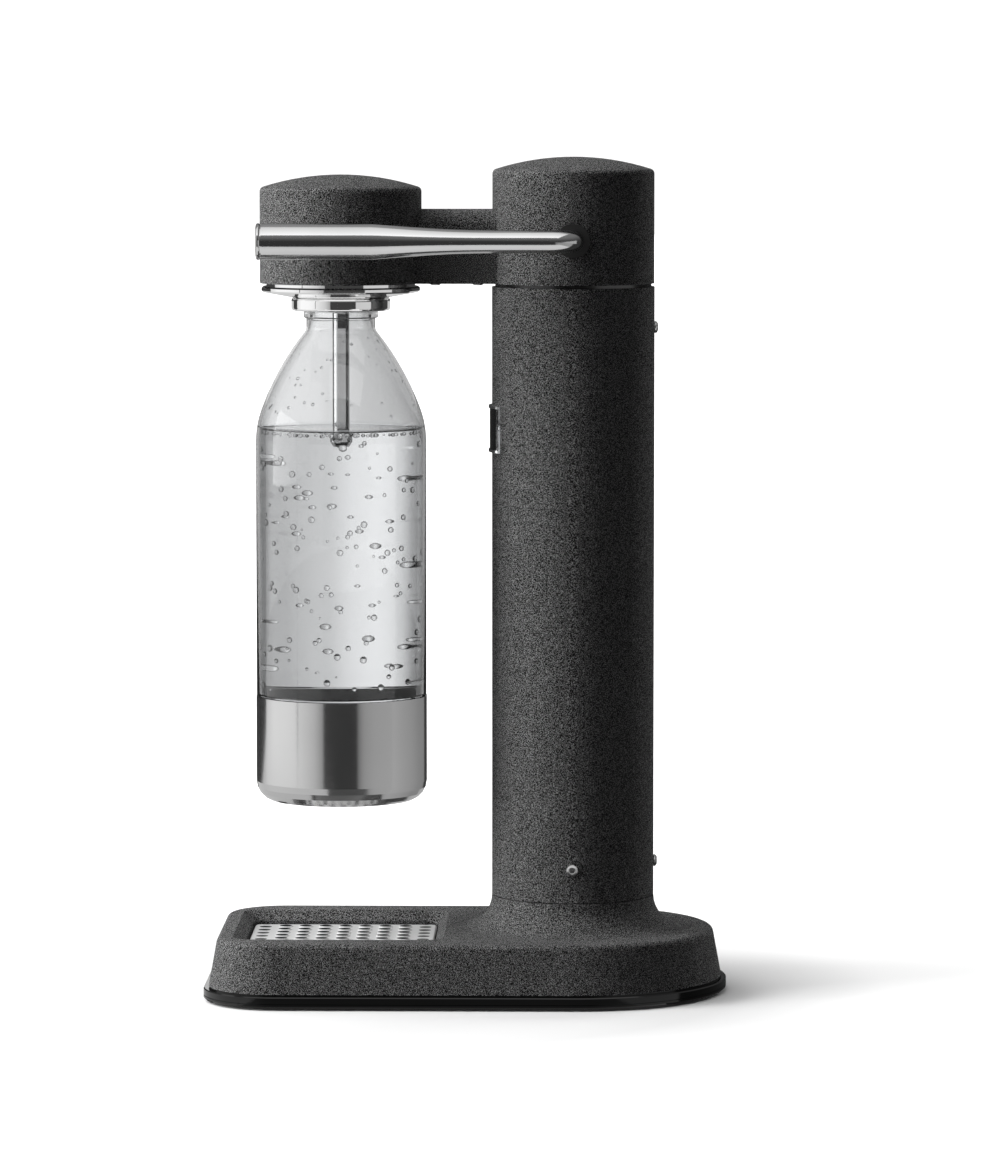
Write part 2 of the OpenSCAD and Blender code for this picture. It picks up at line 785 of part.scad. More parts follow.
// A curved plate on the column's front
module front_plate(span, height, r0, r1) {
    on_column() rotate_extrude(angle = span, start = 180 - span / 2)
        translate([r0, z_badge - height / 2]) square([r1 - r0, height]);
}

module badge_frame() {
    border_angle = badge_border / column_r * 180 / PI;
    color(chrome) difference() {
        front_plate(badge_span, badge_h, badge_seat_r, column_r + badge_proud);
        front_plate(badge_span - 2 * border_angle, badge_h - 2 * badge_border,
            badge_seat_r - over, column_r + badge_proud + over);
    }
}

module badge_panel() {
    border_angle = (badge_border + running_fit) / column_r * 180 / PI;
    panel_h = badge_h - 2 * (badge_border + running_fit);
    color(gloss_black) front_plate(badge_span - 2 * border_angle, panel_h,
        badge_seat_r, column_r + badge_proud - badge_sink);
}

// Head casting: column cap, arm and barrel

// Half section of a domed can: straight side, rounded edge, spherical crown
function domed_can(r, z0, height) =
    let (
        dome_z = z0 + height - dome_r,
        edge_x = r - dome_edge_r,
        edge_angle = acos(edge_x / (dome_r - dome_edge_r)),
        edge_z = dome_z + (dome_r - dome_edge_r) * sin(edge_angle))
    concat(
        [[0, z0], [r, z0]],
        arc([edge_x, edge_z], dome_edge_r, 0, edge_angle),
        [for (k = [1 : dome_steps])
            let (a = edge_angle + (90 - edge_angle) * k / dome_steps)
            [k == dome_steps ? 0 : dome_r * cos(a), dome_z + dome_r * sin(a)]]);

module arm_bar() {
    side = arm_w / 2;
    section = concat(
        [[-side, z_barrel], [side, z_barrel]],
        arc([side - arm_edge_r, z_arm_top - arm_edge_r], arm_edge_r, 0, 90),
        arc([arm_edge_r - side, z_arm_top - arm_edge_r], arm_edge_r, 90, 180));
    translate([bar_x, 0, 0]) rotate([90, 0, 90]) linear_extrude(reach) polygon(section);
}

// Concave fillet between a round end at the origin and the arm's side, in plan
module arm_fillet() {
    side = arm_w / 2;
    mid = [sqrt(pow(head_r + arm_fillet_r, 2) - pow(side + arm_fillet_r, 2)), side + arm_fillet_r];
    touch = mid * head_r / (head_r + arm_fillet_r);
    from = atan2(touch[1] - mid[1], touch[0] - mid[0]);
    translate([0, 0, z_barrel]) linear_extrude(arm_h - arm_edge_r)
        polygon(concat(
            [[touch[0] - cast_wall, side - cast_wall]],
            arc(mid, arm_fillet_r, from, -90),
            [[mid[0], side - cast_wall]]));
}

module arm_fillets() {
    for (m = [0, 1]) mirror([0, m, 0]) {
        on_barrel() arm_fillet();
        on_column() mirror([1, 0, 0]) arm_fillet();
    }
}

module arm_screw_places() {
    for (s = [-1, 1]) translate([arm_mid_x + s * arm_screw_pitch / 2, arm_post_y, 0]) children();
}

module nozzle_screw_places() {
    on_barrel() for (a = nozzle_screw_angles)
        translate(nozzle_screw_ring_r * [cos(a), sin(a), 0]) children();
}

module block_screw_places() {
    for (a = nozzle_screw_angles) translate(block_screw_ring_r * [cos(a), sin(a), 0]) children();
}

module head_hollow() {
    on_column() bar_z(cast_bore_r, z_head - over, head_roof_z);
    on_barrel() bar_z(cast_bore_r, z_barrel - over, barrel_roof_z);
    translate([channel_x0, -channel_w / 2, z_barrel - over])
        cube([channel_x1 - channel_x0, channel_w, channel_roof_z - z_barrel + over]);
    translate([bar_x + nozzle_body_r, -channel_w / 2, passage_z])
        cube([reach - 2 * nozzle_body_r, channel_w, channel_roof_z - passage_z]);
}

module head_casting() {
    color(coat) difference() {
        union() {
            difference() {
                union() {
                    on_column() turned(domed_can(head_r, z_head, head_h));
                    on_barrel() turned(domed_can(head_r, z_barrel, barrel_h));
                    arm_bar();
                    arm_fillets();
                }
                head_hollow();
            }
            translate([col_x, 0, z_lever]) {
                bar_y(bearing_boss_r, over / 2 - cast_bore_r, bush_inner_y);
                bar_y(end_boss_r, end_bush_y0, cast_bore_r + over / 2);
            }
            arm_screw_places() bar_z(arm_post_r, z_barrel + arm_cover_t, channel_roof_z + over);
            nozzle_screw_places() bar_z(nozzle_boss_r, z_nozzle_body, barrel_roof_z + over);
        }
        translate([col_x, 0, z_lever]) {
            bar_y(bush_r + running_fit, -head_r - over, bush_inner_y + over);
            bar_y(end_bush_r + running_fit, end_bush_y0 - over, end_bush_y1 + running_fit);
        }
        arm_screw_places()
            bar_z(arm_screw_r + running_fit, z_barrel, z_barrel + arm_cover_t + arm_screw_len);
        nozzle_screw_places()
            bar_z(nozzle_screw_r + running_fit, z_nozzle_body - over, z_nozzle_body + nozzle_screw_len);
    }
}

module arm_cover() {
    color(coat) difference() {
        translate([channel_x0 + seat_fit, seat_fit - channel_w / 2, z_barrel])
            cube([channel_x1 - channel_x0 - 2 * seat_fit, channel_w - 2 * seat_fit, arm_cover_t]);
        arm_screw_places() bar_z(arm_screw_r + running_fit, z_barrel - over, z_barrel + arm_cover_t + over);
    }
}

module arm_screws() {
    color(steel) arm_screw_places() {
        bar_z(arm_screw_r, z_barrel, z_barrel + arm_cover_t + arm_screw_len - over);
        turned([
            [0, z_barrel - arm_screw_head_h], [arm_screw_head_r * pan_top, z_barrel - arm_screw_head_h],
            [arm_screw_head_r, z_barrel - arm_screw_head_h / 2],
            [arm_screw_head_r, z_barrel], [0, z_barrel]]);
    }
}

// Lever and its shaft, about the pivot

module at_pivot() {
    translate([col_x, 0, z_lever]) children();
}

module lever_bush() {
    color(rubber) at_pivot() rotate([-90, 0, 0])
        sleeve(bush_r, lever_r + running_fit, bush_outer_y, bush_inner_y);
}

module shaft_end_bush() {
    color(brass) at_pivot() rotate([-90, 0, 0])
        sleeve(end_bush_r, shaft_r + running_fit, end_bush_y0 - seat_fit, end_bush_y1);
}

module lever_arm() {
    swell = [for (k = [0 : taper_steps])
        let (
            from_grip = 1 - k / taper_steps,
            swelling = (1 + cos(180 * pow(from_grip, taper_bias))) / 2)
        [lever_r + (grip_r - lever_r) * swelling, grip_start - taper_len * from_grip]];
    color(steel) at_pivot() {
        translate([0, lever_y, 0]) rotate([0, -90, 0])
            turned(concat(
                [[0, lever_bend_r], [lever_r, lever_bend_r]],
                swell,
                [[grip_r, lever_len], [0, lever_len]]));
        translate([bend_x, bend_y, 0]) rotate_extrude(angle = 90, start = 270)
            translate([lever_bend_r, 0]) circle(lever_r);
        bar_y(lever_r, bend_y, stub_y);
    }
}

module lever_end_cap() {
    neck = lever_len + end_cap_neck;
    edge_r = (end_cap_t - end_cap_neck) / 2;
    edge = [grip_r - edge_r, neck + edge_r];
    color(steel) at_pivot() translate([0, lever_y, 0]) rotate([0, -90, 0]) turned(concat(
        [[0, lever_len], [grip_r - edge_r, lever_len]],
        arc(edge, edge_r, -90, 90),
        [[0, lever_len + end_cap_t]]));
}

module cam_shaft() {
    color(steel) at_pivot() bar_y(shaft_r, stub_y, end_bush_y1 - end_play);
}

module cam() {
    color(steel) at_pivot() difference() {
        translate([-cam_throw, 0, 0]) bar_y(cam_r, -cam_t / 2, cam_t / 2);
        bar_y(shaft_r + running_fit / 2, -cam_t, cam_t);
    }
}

module shaft_clip() {
    clip_y = end_bush_y0 - seat_fit - end_play;
    color(steel) at_pivot() rotate([-90, 0, 0])
        sleeve(end_bush_r, shaft_r + running_fit / 2, clip_y - clip_t, clip_y);
}

// Valve train under the cam

module plunger() {
    color(steel) on_column() {
        bar_z(plunger_nose_r, z_plunger_foot, z_plunger_step);
        bar_z(plunger_r, z_plunger_step, z_plunger_head);
        bar_z(plunger_head_r, z_plunger_head, z_plunger_top);
    }
}

module plunger_spring() {
    wire_r = spring_wire / 2;
    low = z_spring_seat + wire_r + running_fit;
    high = z_plunger_head - wire_r - running_fit;
    last = spring_turns * spring_rings;
    points = [for (i = [0 : last], j = [0 : spring_sides - 1])
        let (
            turn = 360 * i / spring_rings,
            b = 360 * j / spring_sides,
            r = spring_mean_r + wire_r * cos(b))
        [r * cos(turn), r * sin(turn), low + (high - low) * i / last + wire_r * sin(b)]];
    sides = [for (i = [0 : last - 1], j = [0 : spring_sides - 1])
        let (
            a = i * spring_sides + j,
            b = i * spring_sides + (j + 1) % spring_sides)
        each [[a, b, b + spring_sides], [a, b + spring_sides, a + spring_sides]]];
    ends = [
        [for (j = [spring_sides - 1 : -1 : 0]) j],
        [for (j = [0 : spring_sides - 1]) last * spring_sides + j]];
    color(steel) on_column() polyhedron(points, concat(sides, ends));
}

module valve_block() {
    color(brass) on_column() difference() {
        turned([
            [0, z_block], [block_r, z_block], [block_r, z_flange], [flange_r, z_flange],
            [flange_r, z_flange_top], [0, z_flange_top]]);
        bar_z(valve_r + running_fit, z_block - over, z_guide);
        bar_z(plunger_r + running_fit, z_guide - over, z_spring_seat + over);
        bar_z(spring_pocket_r, z_spring_seat, z_flange_top + over);
        block_screw_places() bar_z(block_screw_r + seat_fit, z_flange - over, z_flange_top + over);
    }
}

module block_seal() {
    color(rubber) on_column()
        sleeve(valve_r - seat_fit, plunger_r + 3 * seat_fit, z_guide - block_seal_t, z_guide);
}

module block_screws() {
    color(steel) on_column() block_screw_places() {
        bar_z(block_screw_r, z_head - block_screw_len + over, z_flange_top);
        bar_z(block_screw_head_r, z_flange_top, z_flange_top + block_screw_head_h);
    }
}

// Gas cylinder

module gas_cylinder() {
    mid = [cylinder_neck_r, z_cylinder_shoulder];
    foot = [cylinder_r - cylinder_foot_r, cylinder_rise + cylinder_foot_r];
    outer = concat(
        [[0, cylinder_rise]], arc(foot, cylinder_foot_r, 270, 360),
        arc(mid, cylinder_shoulder_r, 0, 90, dome_steps), [[cylinder_neck_r, z_valve_foot]]);
    inner = concat(
        [[valve_plug_r, z_valve_foot], [valve_plug_r, z_valve_foot - cylinder_neck_len]],
        arc(mid, cylinder_shoulder_r - cylinder_wall, 90, 0, dome_steps),
        arc(foot, cylinder_foot_r - cylinder_wall, 360, 270), [[0, cylinder_rise + cylinder_wall]]);
    color(steel) on_column() turned(concat(outer, inner));
}

module cylinder_valve() {
    color(brass) on_column() turned([
        [valve_pin_r + running_fit, z_valve_foot - valve_plug_len],
        [valve_plug_r - running_fit, z_valve_foot - valve_plug_len],
        [valve_plug_r - running_fit, z_valve_foot], [cylinder_neck_r - over, z_valve_foot],
        [cylinder_neck_r - over, z_valve_thread], [valve_r, z_valve_thread],
        [valve_r, z_valve_top], [valve_pin_r + running_fit, z_valve_top]]);
}

module valve_pin() {
    color(steel) on_column() bar_z(valve_pin_r, z_pin_top - pin_len, z_pin_top);
}

// Gas line through the arm

module outlet_elbow() {
    color(brass) translate([elbow_x, hose_y, 0]) difference() {
        union() {
            bar_z(elbow_r, z_flange_top, z_hose + elbow_r);
            translate([0, 0, z_hose]) bar_x_axis(barb_r, -barb_len - elbow_r, 0);
        }
        translate([0, 0, z_hose]) bar_x_axis(barb_r / 2, -barb_len - elbow_r - over, 0);
    }
}

module gas_hose() {
    color(rubber) translate([0, hose_y, z_hose]) rotate([0, 90, 0])
        sleeve(hose_r, barb_r + running_fit, hose_x0, hose_x1);
}

module hose_ferrules() {
    color(steel) translate([0, hose_y, z_hose]) rotate([0, 90, 0])
        for (x0 = [hose_x0 + ferrule_t, hose_x1 - ferrule_t - ferrule_len])
            sleeve(hose_r + ferrule_t, hose_r + running_fit, x0, x0 + ferrule_len);
}

// Nozzle under the barrel

module nozzle_plate() {
    color(chrome) on_barrel() turned([
        [collar_bore_r, z_nozzle_cone], [cone_foot_r, z_nozzle_cone],
        [nozzle_plate_r - nozzle_edge_round, z_nozzle_edge],
        [nozzle_plate_r, z_nozzle_edge + nozzle_edge_round],
        [nozzle_plate_r, z_nozzle_plate - nozzle_edge_round],
        [nozzle_plate_r - nozzle_edge_round, z_nozzle_plate],
        [cast_bore_r - seat_fit, z_nozzle_plate], [cast_bore_r - seat_fit, z_nozzle_flange],
        [collar_bore_r, z_nozzle_flange]]);
}

module bottle_collar() {
    low = [collar_r - collar_edge_r, z_collar + collar_edge_r];
    high = [collar_r - collar_edge_r, z_nozzle_cone - collar_edge_r];
    color(chrome) on_barrel() turned(concat(
        [[collar_bore_r, z_collar]],
        arc(low, collar_edge_r, 270, 360),
        arc(high, collar_edge_r, 0, 90),
        [[collar_bore_r, z_nozzle_cone]]));
}

module nozzle_body() {
    barb_tip = nozzle_body_r + over + barb_len;
    color(gloss_black) difference() {
        on_barrel() {
            turned([
                [0, z_nozzle_flange], [cast_bore_r - seat_fit, z_nozzle_flange],
                [cast_bore_r - seat_fit, z_nozzle_body], [nozzle_body_r, z_nozzle_body],
                [nozzle_body_r, z_nozzle_top], [0, z_nozzle_top]]);
            translate([0, hose_y, z_hose]) bar_x_axis(barb_r, nozzle_body_r / 2, barb_tip);
        }
        on_barrel() {
            bar_z(tube_r + running_fit, z_nozzle_flange - over, z_nozzle_top - over);
            translate([0, hose_y, z_hose]) bar_x_axis(barb_r / 2, 0, barb_tip + over);
        }
        nozzle_screw_places() {
            bar_z(nozzle_screw_r + seat_fit, z_nozzle_flange - over, z_nozzle_body + over);
            bar_z(nozzle_screw_head_r + seat_fit,
                z_nozzle_flange - over, z_nozzle_flange + nozzle_screw_head_h);
        }
    }
}

module nozzle_screws() {
    color(steel) nozzle_screw_places() {
        bar_z(nozzle_screw_head_r, z_nozzle_flange + seat_fit, z_nozzle_flange + nozzle_screw_head_h);
        bar_z(nozzle_screw_r,
            z_nozzle_flange + nozzle_screw_head_h, z_nozzle_body + nozzle_screw_len - over);
    }
}

module nozzle_tube() {
    color(steel) on_barrel() sleeve(tube_r, tube_r - tube_wall, z_tip + tip_len, z_nozzle_top - 2 * over);
}

module nozzle_tip() {
    color(steel) on_barrel() turned([
        [tube_wall / 2, z_tip], [tube_r - tube_wall, z_tip], [tube_r, z_tip + tip_len / 3],
        [tube_r, z_tip + tip_len], [tube_wall / 2, z_tip + tip_len]]);
}

module bottle_seal() {
    color(rubber) on_barrel()
        sleeve(mouth_r, bottle_seal_bore_r, z_nozzle_flange - bottle_seal_t, z_nozzle_flange);
}

module relief_valve() {
    color(brass) on_barrel() translate([-nozzle_body_r / 2, 0, 0]) {
        translate([0, 0, z_nozzle_top]) cylinder(r = relief_r, h = relief_h / 2, $fn = 6);
        bar_z(relief_r * cos(30) - over, z_nozzle_top, z_nozzle_top + relief_h);
    }
}

// Bottle and its cup

// Shoulder from the body up to the neck, moved inwards by the wall
function shoulder(w) =
    let (
        low_mid = [bottle_r - shoulder_low_r, z_shoulder],
        step = shoulder_high_r - shoulder_low_r,
        high_mid = low_mid - step * [cos(shoulder_low_angle), sin(shoulder_low_angle)],
        neck_mid = [neck_r + neck_fillet_r, z_neck])
    concat(
        arc(low_mid, shoulder_low_r - w, 0, shoulder_low_angle),
        arc(high_mid, shoulder_high_r - w, shoulder_low_angle, shoulder_high_angle, dome_steps),
        arc(neck_mid, neck_fillet_r + w, 180 + shoulder_high_angle, 180, 3));

module bottle() {
    foot_r0 = cup_edge_r - cup_t - part_gap;
    z_foot = z_bottle + cup_t + part_gap;
    foot = [foot_body_r - foot_r0, z_foot + foot_r0];
    z_step = z_cup_top + part_gap;
    outer = concat(
        [[0, z_foot]], arc(foot, foot_r0, 270, 360),
        [[foot_body_r, z_step], [bottle_r, z_step]],
        shoulder(0),
        [[neck_r, z_support_ring], [support_ring_r, z_support_ring],
            [support_ring_r, z_support_ring + support_ring_h], [mouth_r, z_support_ring + support_ring_h],
            [mouth_r, z_mouth]]);
    inner_shoulder = shoulder(bottle_wall);
    inner = concat(
        [[mouth_bore_r, z_mouth], [mouth_bore_r, z_support_ring + support_ring_h]],
        [for (k = [len(inner_shoulder) - 1 : -1 : 0]) inner_shoulder[k]],
        [[bottle_r - bottle_wall, z_step + 3 * bottle_wall],
            [foot_body_r - bottle_wall, z_step - bottle_wall]],
        arc(foot, foot_r0 - bottle_wall, 360, 270),
        [[0, z_foot + bottle_wall]]);
    color(clear) on_barrel() turned(concat(outer, inner));
}

module bottle_cup() {
    mid = [cup_r - cup_edge_r, z_bottle + cup_edge_r];
    color(chrome) on_barrel() turned(concat(
        [[0, z_bottle]], arc(mid, cup_edge_r, 270, 360),
        [[cup_r, z_cup_top], [cup_r - cup_t, z_cup_top]],
        arc(mid, cup_edge_r - cup_t, 360, 270), [[0, z_bottle + cup_t]]));
}

base_shell();
base_rim();
bottom_plate();
rubber_feet();
base_screws();
drip_grid();
column_tube();
column_foot_screws();
column_top_screw();
joint_ring();
badge_frame();
badge_panel();
head_casting();
arm_cover();
arm_screws();
lever_bush();
shaft_end_bush();
lever_arm();
lever_end_cap();
cam_shaft();
cam();
shaft_clip();
plunger();
plunger_spring();
valve_block();
block_seal();
block_screws();
gas_cylinder();
cylinder_valve();
valve_pin();
outlet_elbow();
gas_hose();
hose_ferrules();
nozzle_plate();
nozzle_body();
nozzle_screws();
nozzle_tube();
nozzle_tip();
bottle_collar();
bottle_seal();
relief_valve();
bottle();
bottle_cup();
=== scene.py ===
"""Sparkling water maker, dressed: finishes, bottle, water, fasteners and a plain studio."""

import json
import logging
import math
from dataclasses import dataclass, field
from enum import Enum
from typing import Any, Iterable, Sequence

import bmesh
import bpy
from bpy.types import Material, Mesh, Node, NodeSocket, Object
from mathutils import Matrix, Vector


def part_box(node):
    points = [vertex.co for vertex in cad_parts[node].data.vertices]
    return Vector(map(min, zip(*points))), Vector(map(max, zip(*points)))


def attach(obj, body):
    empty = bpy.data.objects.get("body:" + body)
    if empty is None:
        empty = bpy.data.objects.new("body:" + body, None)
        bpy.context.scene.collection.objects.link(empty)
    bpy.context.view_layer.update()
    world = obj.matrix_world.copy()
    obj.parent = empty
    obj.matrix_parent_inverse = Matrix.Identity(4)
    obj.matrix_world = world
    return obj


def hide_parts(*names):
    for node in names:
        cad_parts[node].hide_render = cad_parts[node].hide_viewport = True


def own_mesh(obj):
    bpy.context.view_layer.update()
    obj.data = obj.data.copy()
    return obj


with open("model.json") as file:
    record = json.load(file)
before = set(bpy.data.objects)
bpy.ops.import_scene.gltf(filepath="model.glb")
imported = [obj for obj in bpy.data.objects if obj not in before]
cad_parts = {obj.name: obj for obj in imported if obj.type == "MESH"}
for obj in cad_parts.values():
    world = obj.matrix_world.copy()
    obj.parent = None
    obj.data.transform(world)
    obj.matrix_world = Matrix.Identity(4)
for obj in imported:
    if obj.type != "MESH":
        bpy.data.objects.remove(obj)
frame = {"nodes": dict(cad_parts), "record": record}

LOG = logging.getLogger("water_maker")
MM = 0.001
Colour = tuple[float, float, float, float]
Place = tuple[float, float, float]
Point = tuple[float, float]
EVEN: Place = (1.0, 1.0, 1.0)
NOISE_RANGE: Point = (0.3, 0.7)
PLASTIC_IOR = 1.5
SHARP_ANGLE = math.radians(35.0)


def grey(level: float) -> Colour:
    """Return an opaque neutral grey of that linear level."""
    return (level, level, level, 1.0)


class Body(Enum):
    """Bodies of the frame that new pieces ride on."""

    FRAME = "frame"
    BOTTLE = "bottle"
    GRID = "drip_grid"


class Slot(Enum):
    """Material slots of the record."""

    SAND_COAT = "sand_coat"
    GLOSS_BLACK = "gloss_black"
    MATTE_BLACK = "matte_black"
    RUBBER = "rubber"
    POLISHED_STEEL = "polished_steel"
    SCREW_STEEL = "screw_steel"
    GRID_STEEL = "grid_steel"
    CUP_STEEL = "cup_steel"
    CHROME = "chrome"
    CYLINDER_METAL = "cylinder_metal"
    BRASS = "brass"
    CLEAR_BOTTLE = "clear_bottle"


# Node trees


class Nodes:
    """A node tree that grows node by node."""

    def __init__(self, tree: bpy.types.NodeTree) -> None:
        """Take the tree that nodes are added to."""
        self.tree = tree

    def add(self, kind: str, values: dict[Any, Any] | None = None, **settings: Any) -> Node:
        """Add a node.

        Args:
            kind: Blender's name of the node type.
            values: A value or a socket to link for each input.
            settings: Properties of the node itself.

        Returns:
            The new node.
        """
        node = self.tree.nodes.new(kind)
        for key, value in settings.items():
            setattr(node, key, value)
        for key, value in (values or {}).items():
            if isinstance(value, NodeSocket):
                self.tree.links.new(value, node.inputs[key])
            else:
                node.inputs[key].default_value = value
        return node

    def out(
        self, kind: str, output: str | int, values: dict[Any, Any] | None = None, **settings: Any
    ) -> NodeSocket:
        """Add a node as add does, and return the output of that name or place."""
        return self.add(kind, values, **settings).outputs[output]

    def span(self, value: NodeSocket, source: Point, target: Point, **how: Any) -> NodeSocket:
        """Map a value from one range to another.

        Args:
            value: The value to map.
            source: Its range, past which it is held.
            target: The range that comes out.
            how: Properties of the node.

        Returns:
            The mapped value.
        """
        values = {"Value": value, "From Min": source[0], "From Max": source[1]}
        values |= {"To Min": target[0], "To Max": target[1]}
        return self.out("ShaderNodeMapRange", "Result", values, **how)


# Materials


class Sketch(Nodes):
    """A material's node tree, drawn round its shader."""

    def __init__(self, name: str, sockets: dict[str, Any]) -> None:
        """Start a material of that name, with plain values on its shader's sockets."""
        self.material = bpy.data.materials.new(name)
        self.material.use_nodes = True
        super().__init__(self.material.node_tree)
        self.shader = self.tree.nodes["Principled BSDF"]
        for socket, value in sockets.items():
            self.shader.inputs[socket].default_value = value

    def feed(self, value: NodeSocket, socket: str) -> None:
        """Link a value to the shader's socket of that name."""
        self.tree.links.new(value, self.shader.inputs[socket])

    def coords(self, stretch: Place = EVEN) -> NodeSocket:
        """Return the piece's own coordinates, stretched along the axes."""
        place = self.out("ShaderNodeTexCoord", "Object")
        return self.out("ShaderNodeMapping", "Vector", {"Vector": place, "Scale": stretch})

    def noise(
        self, scale: float, detail: float = 2.0, roughness: float = 0.5, stretch: Place = EVEN
    ) -> NodeSocket:
        """Add a noise over the piece's coordinates.

        Args:
            scale: Cells per metre.
            detail: Octaves of finer noise.
            roughness: Weight of the finer octaves.
            stretch: Scale along each axis, for brush marks.

        Returns:
            The noise's value.
        """
        values = {"Vector": self.coords(stretch), "Scale": scale}
        values |= {"Detail": detail, "Roughness": roughness}
        return self.out("ShaderNodeTexNoise", "Fac", values)

    def tint(self, value: NodeSocket, source: Point, dark: Colour, light: Colour) -> None:
        """Let a value run the base colour from dark to light over a range."""
        values = {0: self.span(value, source, (0.0, 1.0)), 6: dark, 7: light}
        self.feed(self.out("ShaderNodeMix", 2, values, data_type="RGBA"), "Base Color")

    def gloss(self, value: NodeSocket, target: Point) -> None:
        """Let a noise run the roughness over a range."""
        self.feed(self.span(value, NOISE_RANGE, target), "Roughness")

    def glow(self, place: NodeSocket, stops: Sequence[Point]) -> None:
        """Let a place run the emission through stops, each a place and its brightness."""
        first, last = stops[0][0], stops[-1][0]
        share = self.span(place, (first, last), (0.0, 1.0))
        ramp = self.add("ShaderNodeValToRGB", {"Fac": share})
        marks = ramp.color_ramp.elements
        while len(marks) < len(stops):
            marks.new(1.0)
        for mark, (spot, level) in zip(marks, stops):
            mark.position = (spot - first) / (last - first)
            mark.color = grey(level)
        self.feed(ramp.outputs["Color"], "Emission Color")

    def relief(self, *layers: tuple[NodeSocket, float, float]) -> None:
        """Raise the surface by bump layers, each a height, a strength and a depth in metres."""
        normal = None
        for height, strength, depth in layers:
            values = {"Height": height, "Strength": strength, "Distance": depth}
            if normal:
                values["Normal"] = normal
            normal = self.out("ShaderNodeBump", "Normal", values)
        self.feed(normal, "Normal")


@dataclass(frozen=True)
class SandCoat:
    """Matte black coat with a fine sand texture."""

    dark: float = 0.004
    light: float = 0.32
    specular: float = 0.1
    roughness: Point = (0.8, 0.9)
    grain_scale: float = 2900.0
    grain_range: Point = (0.5, 0.64)
    grain_relief: Point = (0.5, 0.3 * MM)
    fine_scale: float = 3600.0
    fine_relief: Point = (0.3, 0.15 * MM)
    cloud_scale: float = 26.0

    def make(self, name: str) -> Material:
        """Return the coat as a material of that name, its pale grains in a dark ground."""
        sketch = Sketch(name, {"IOR": PLASTIC_IOR, "Specular IOR Level": self.specular})
        grain = sketch.noise(self.grain_scale, detail=0.0)
        fine = sketch.noise(self.fine_scale)
        sketch.tint(grain, self.grain_range, grey(self.dark), grey(self.light))
        sketch.gloss(sketch.noise(self.cloud_scale, detail=3.0), self.roughness)
        sketch.relief((grain, *self.grain_relief), (fine, *self.fine_relief))
        return sketch.material


@dataclass(frozen=True)
class Moulding:
    """Moulded plastic or rubber, from glossy to matte."""

    dark: float
    light: float
    roughness: Point
    grain_scale: float = 900.0
    grain_depth: float = 0.05 * MM
    grain_strength: float = 0.25
    cloud_scale: float = 30.0

    def make(self, name: str) -> Material:
        """Return the moulding as a material of that name."""
        sketch = Sketch(name, {"IOR": PLASTIC_IOR})
        cloud = sketch.noise(self.cloud_scale, detail=3.0)
        sketch.tint(cloud, NOISE_RANGE, grey(self.dark), grey(self.light))
        sketch.gloss(cloud, self.roughness)
        grain = sketch.noise(self.grain_scale)
        sketch.relief((grain, self.grain_strength, self.grain_depth))
        return sketch.material


@dataclass(frozen=True)
class HoleField:
    """Round holes in columns and rows about a node's middle, with painted shade on their walls."""

    node: str
    columns: int
    rows: int
    pitch: Point
    radius: float
    wall_edge: Point = (0.08 * MM, 0.16 * MM)

    def nearest(self, sketch: Sketch) -> NodeSocket:
        """Return the distance from the axis of the nearest hole."""
        half = (self.pitch[0] / 2.0, self.pitch[1] / 2.0)
        counts = (self.columns, self.rows)
        middle = [m + h * (1 - n % 2) for m, h, n in zip(centre_of(self.node), half, counts)]
        # The wrap repeats without end, so the painted shade also falls as dark discs and bars past
        # the real holes.
        steps = (
            ("SUBTRACT", {1: (*middle, 0.0)}),
            ("WRAP", {1: (*half, 1.0), 2: (-half[0], -half[1], -1.0)}),
            ("MULTIPLY", {1: (1.0, 1.0, 0.0)}),
        )
        place = sketch.coords()
        for step, values in steps:
            place = sketch.out("ShaderNodeVectorMath", 0, {0: place} | values, operation=step)
        return sketch.out("ShaderNodeVectorMath", "Value", {0: place}, operation="LENGTH")

    def shade(self, sketch: Sketch, dark: Colour, light: Colour) -> None:
        """Paint shade on the walls: tint a sketch dark there and light past their edge."""
        edge = (self.radius + self.wall_edge[0], self.radius + self.wall_edge[1])
        sketch.tint(self.nearest(sketch), edge, dark, light)


GRID_HOLES = HoleField("drip_grid", 7, 8, (10.1 * MM, 10.6 * MM), 2.9 * MM)


@dataclass(frozen=True)
class Metal:
    """Bare or plated metal with fine working marks; with a hole field, painted shade on the hole
    walls.
    """

    dark: Colour
    light: Colour
    roughness: Point
    mark_scale: float = 60.0
    stretch: Place = (1.0, 1.0, 40.0)
    mark_depth: float = 0.01 * MM
    mark_strength: float = 0.15
    cloud_scale: float = 18.0
    bare: float = 1.0
    holes: HoleField | None = None

    def make(self, name: str) -> Material:
        """Return the metal as a material of that name."""
        sketch = Sketch(name, {"Metallic": self.bare})
        marks = sketch.noise(self.mark_scale, detail=4.0, roughness=0.6, stretch=self.stretch)
        # With a hole field the colour is painted shade: near-black on the hole walls, the steel's
        # grey past them.
        if self.holes:
            self.holes.shade(sketch, self.dark, self.light)
        else:
            sketch.tint(sketch.noise(self.cloud_scale), NOISE_RANGE, self.dark, self.light)
        sketch.gloss(marks, self.roughness)
        sketch.relief((marks, self.mark_strength, self.mark_depth))
        return sketch.material


@dataclass(frozen=True)
class Clear:
    """Clear plastic, water or gas, with a faint unevenness."""

    tint: Colour
    ior: float
    wave_scale: float = 40.0
    wave_depth: float = 0.05 * MM
    wave_strength: float = 0.2

    def make(self, name: str) -> Material:
        """Return the clear stuff as a material of that name."""
        values = {"Base Color": self.tint, "IOR": self.ior}
        sketch = Sketch(name, values | {"Roughness": 0.0, "Transmission Weight": 1.0})
        sketch.relief((sketch.noise(self.wave_scale), self.wave_strength, self.wave_depth))
        return sketch.material


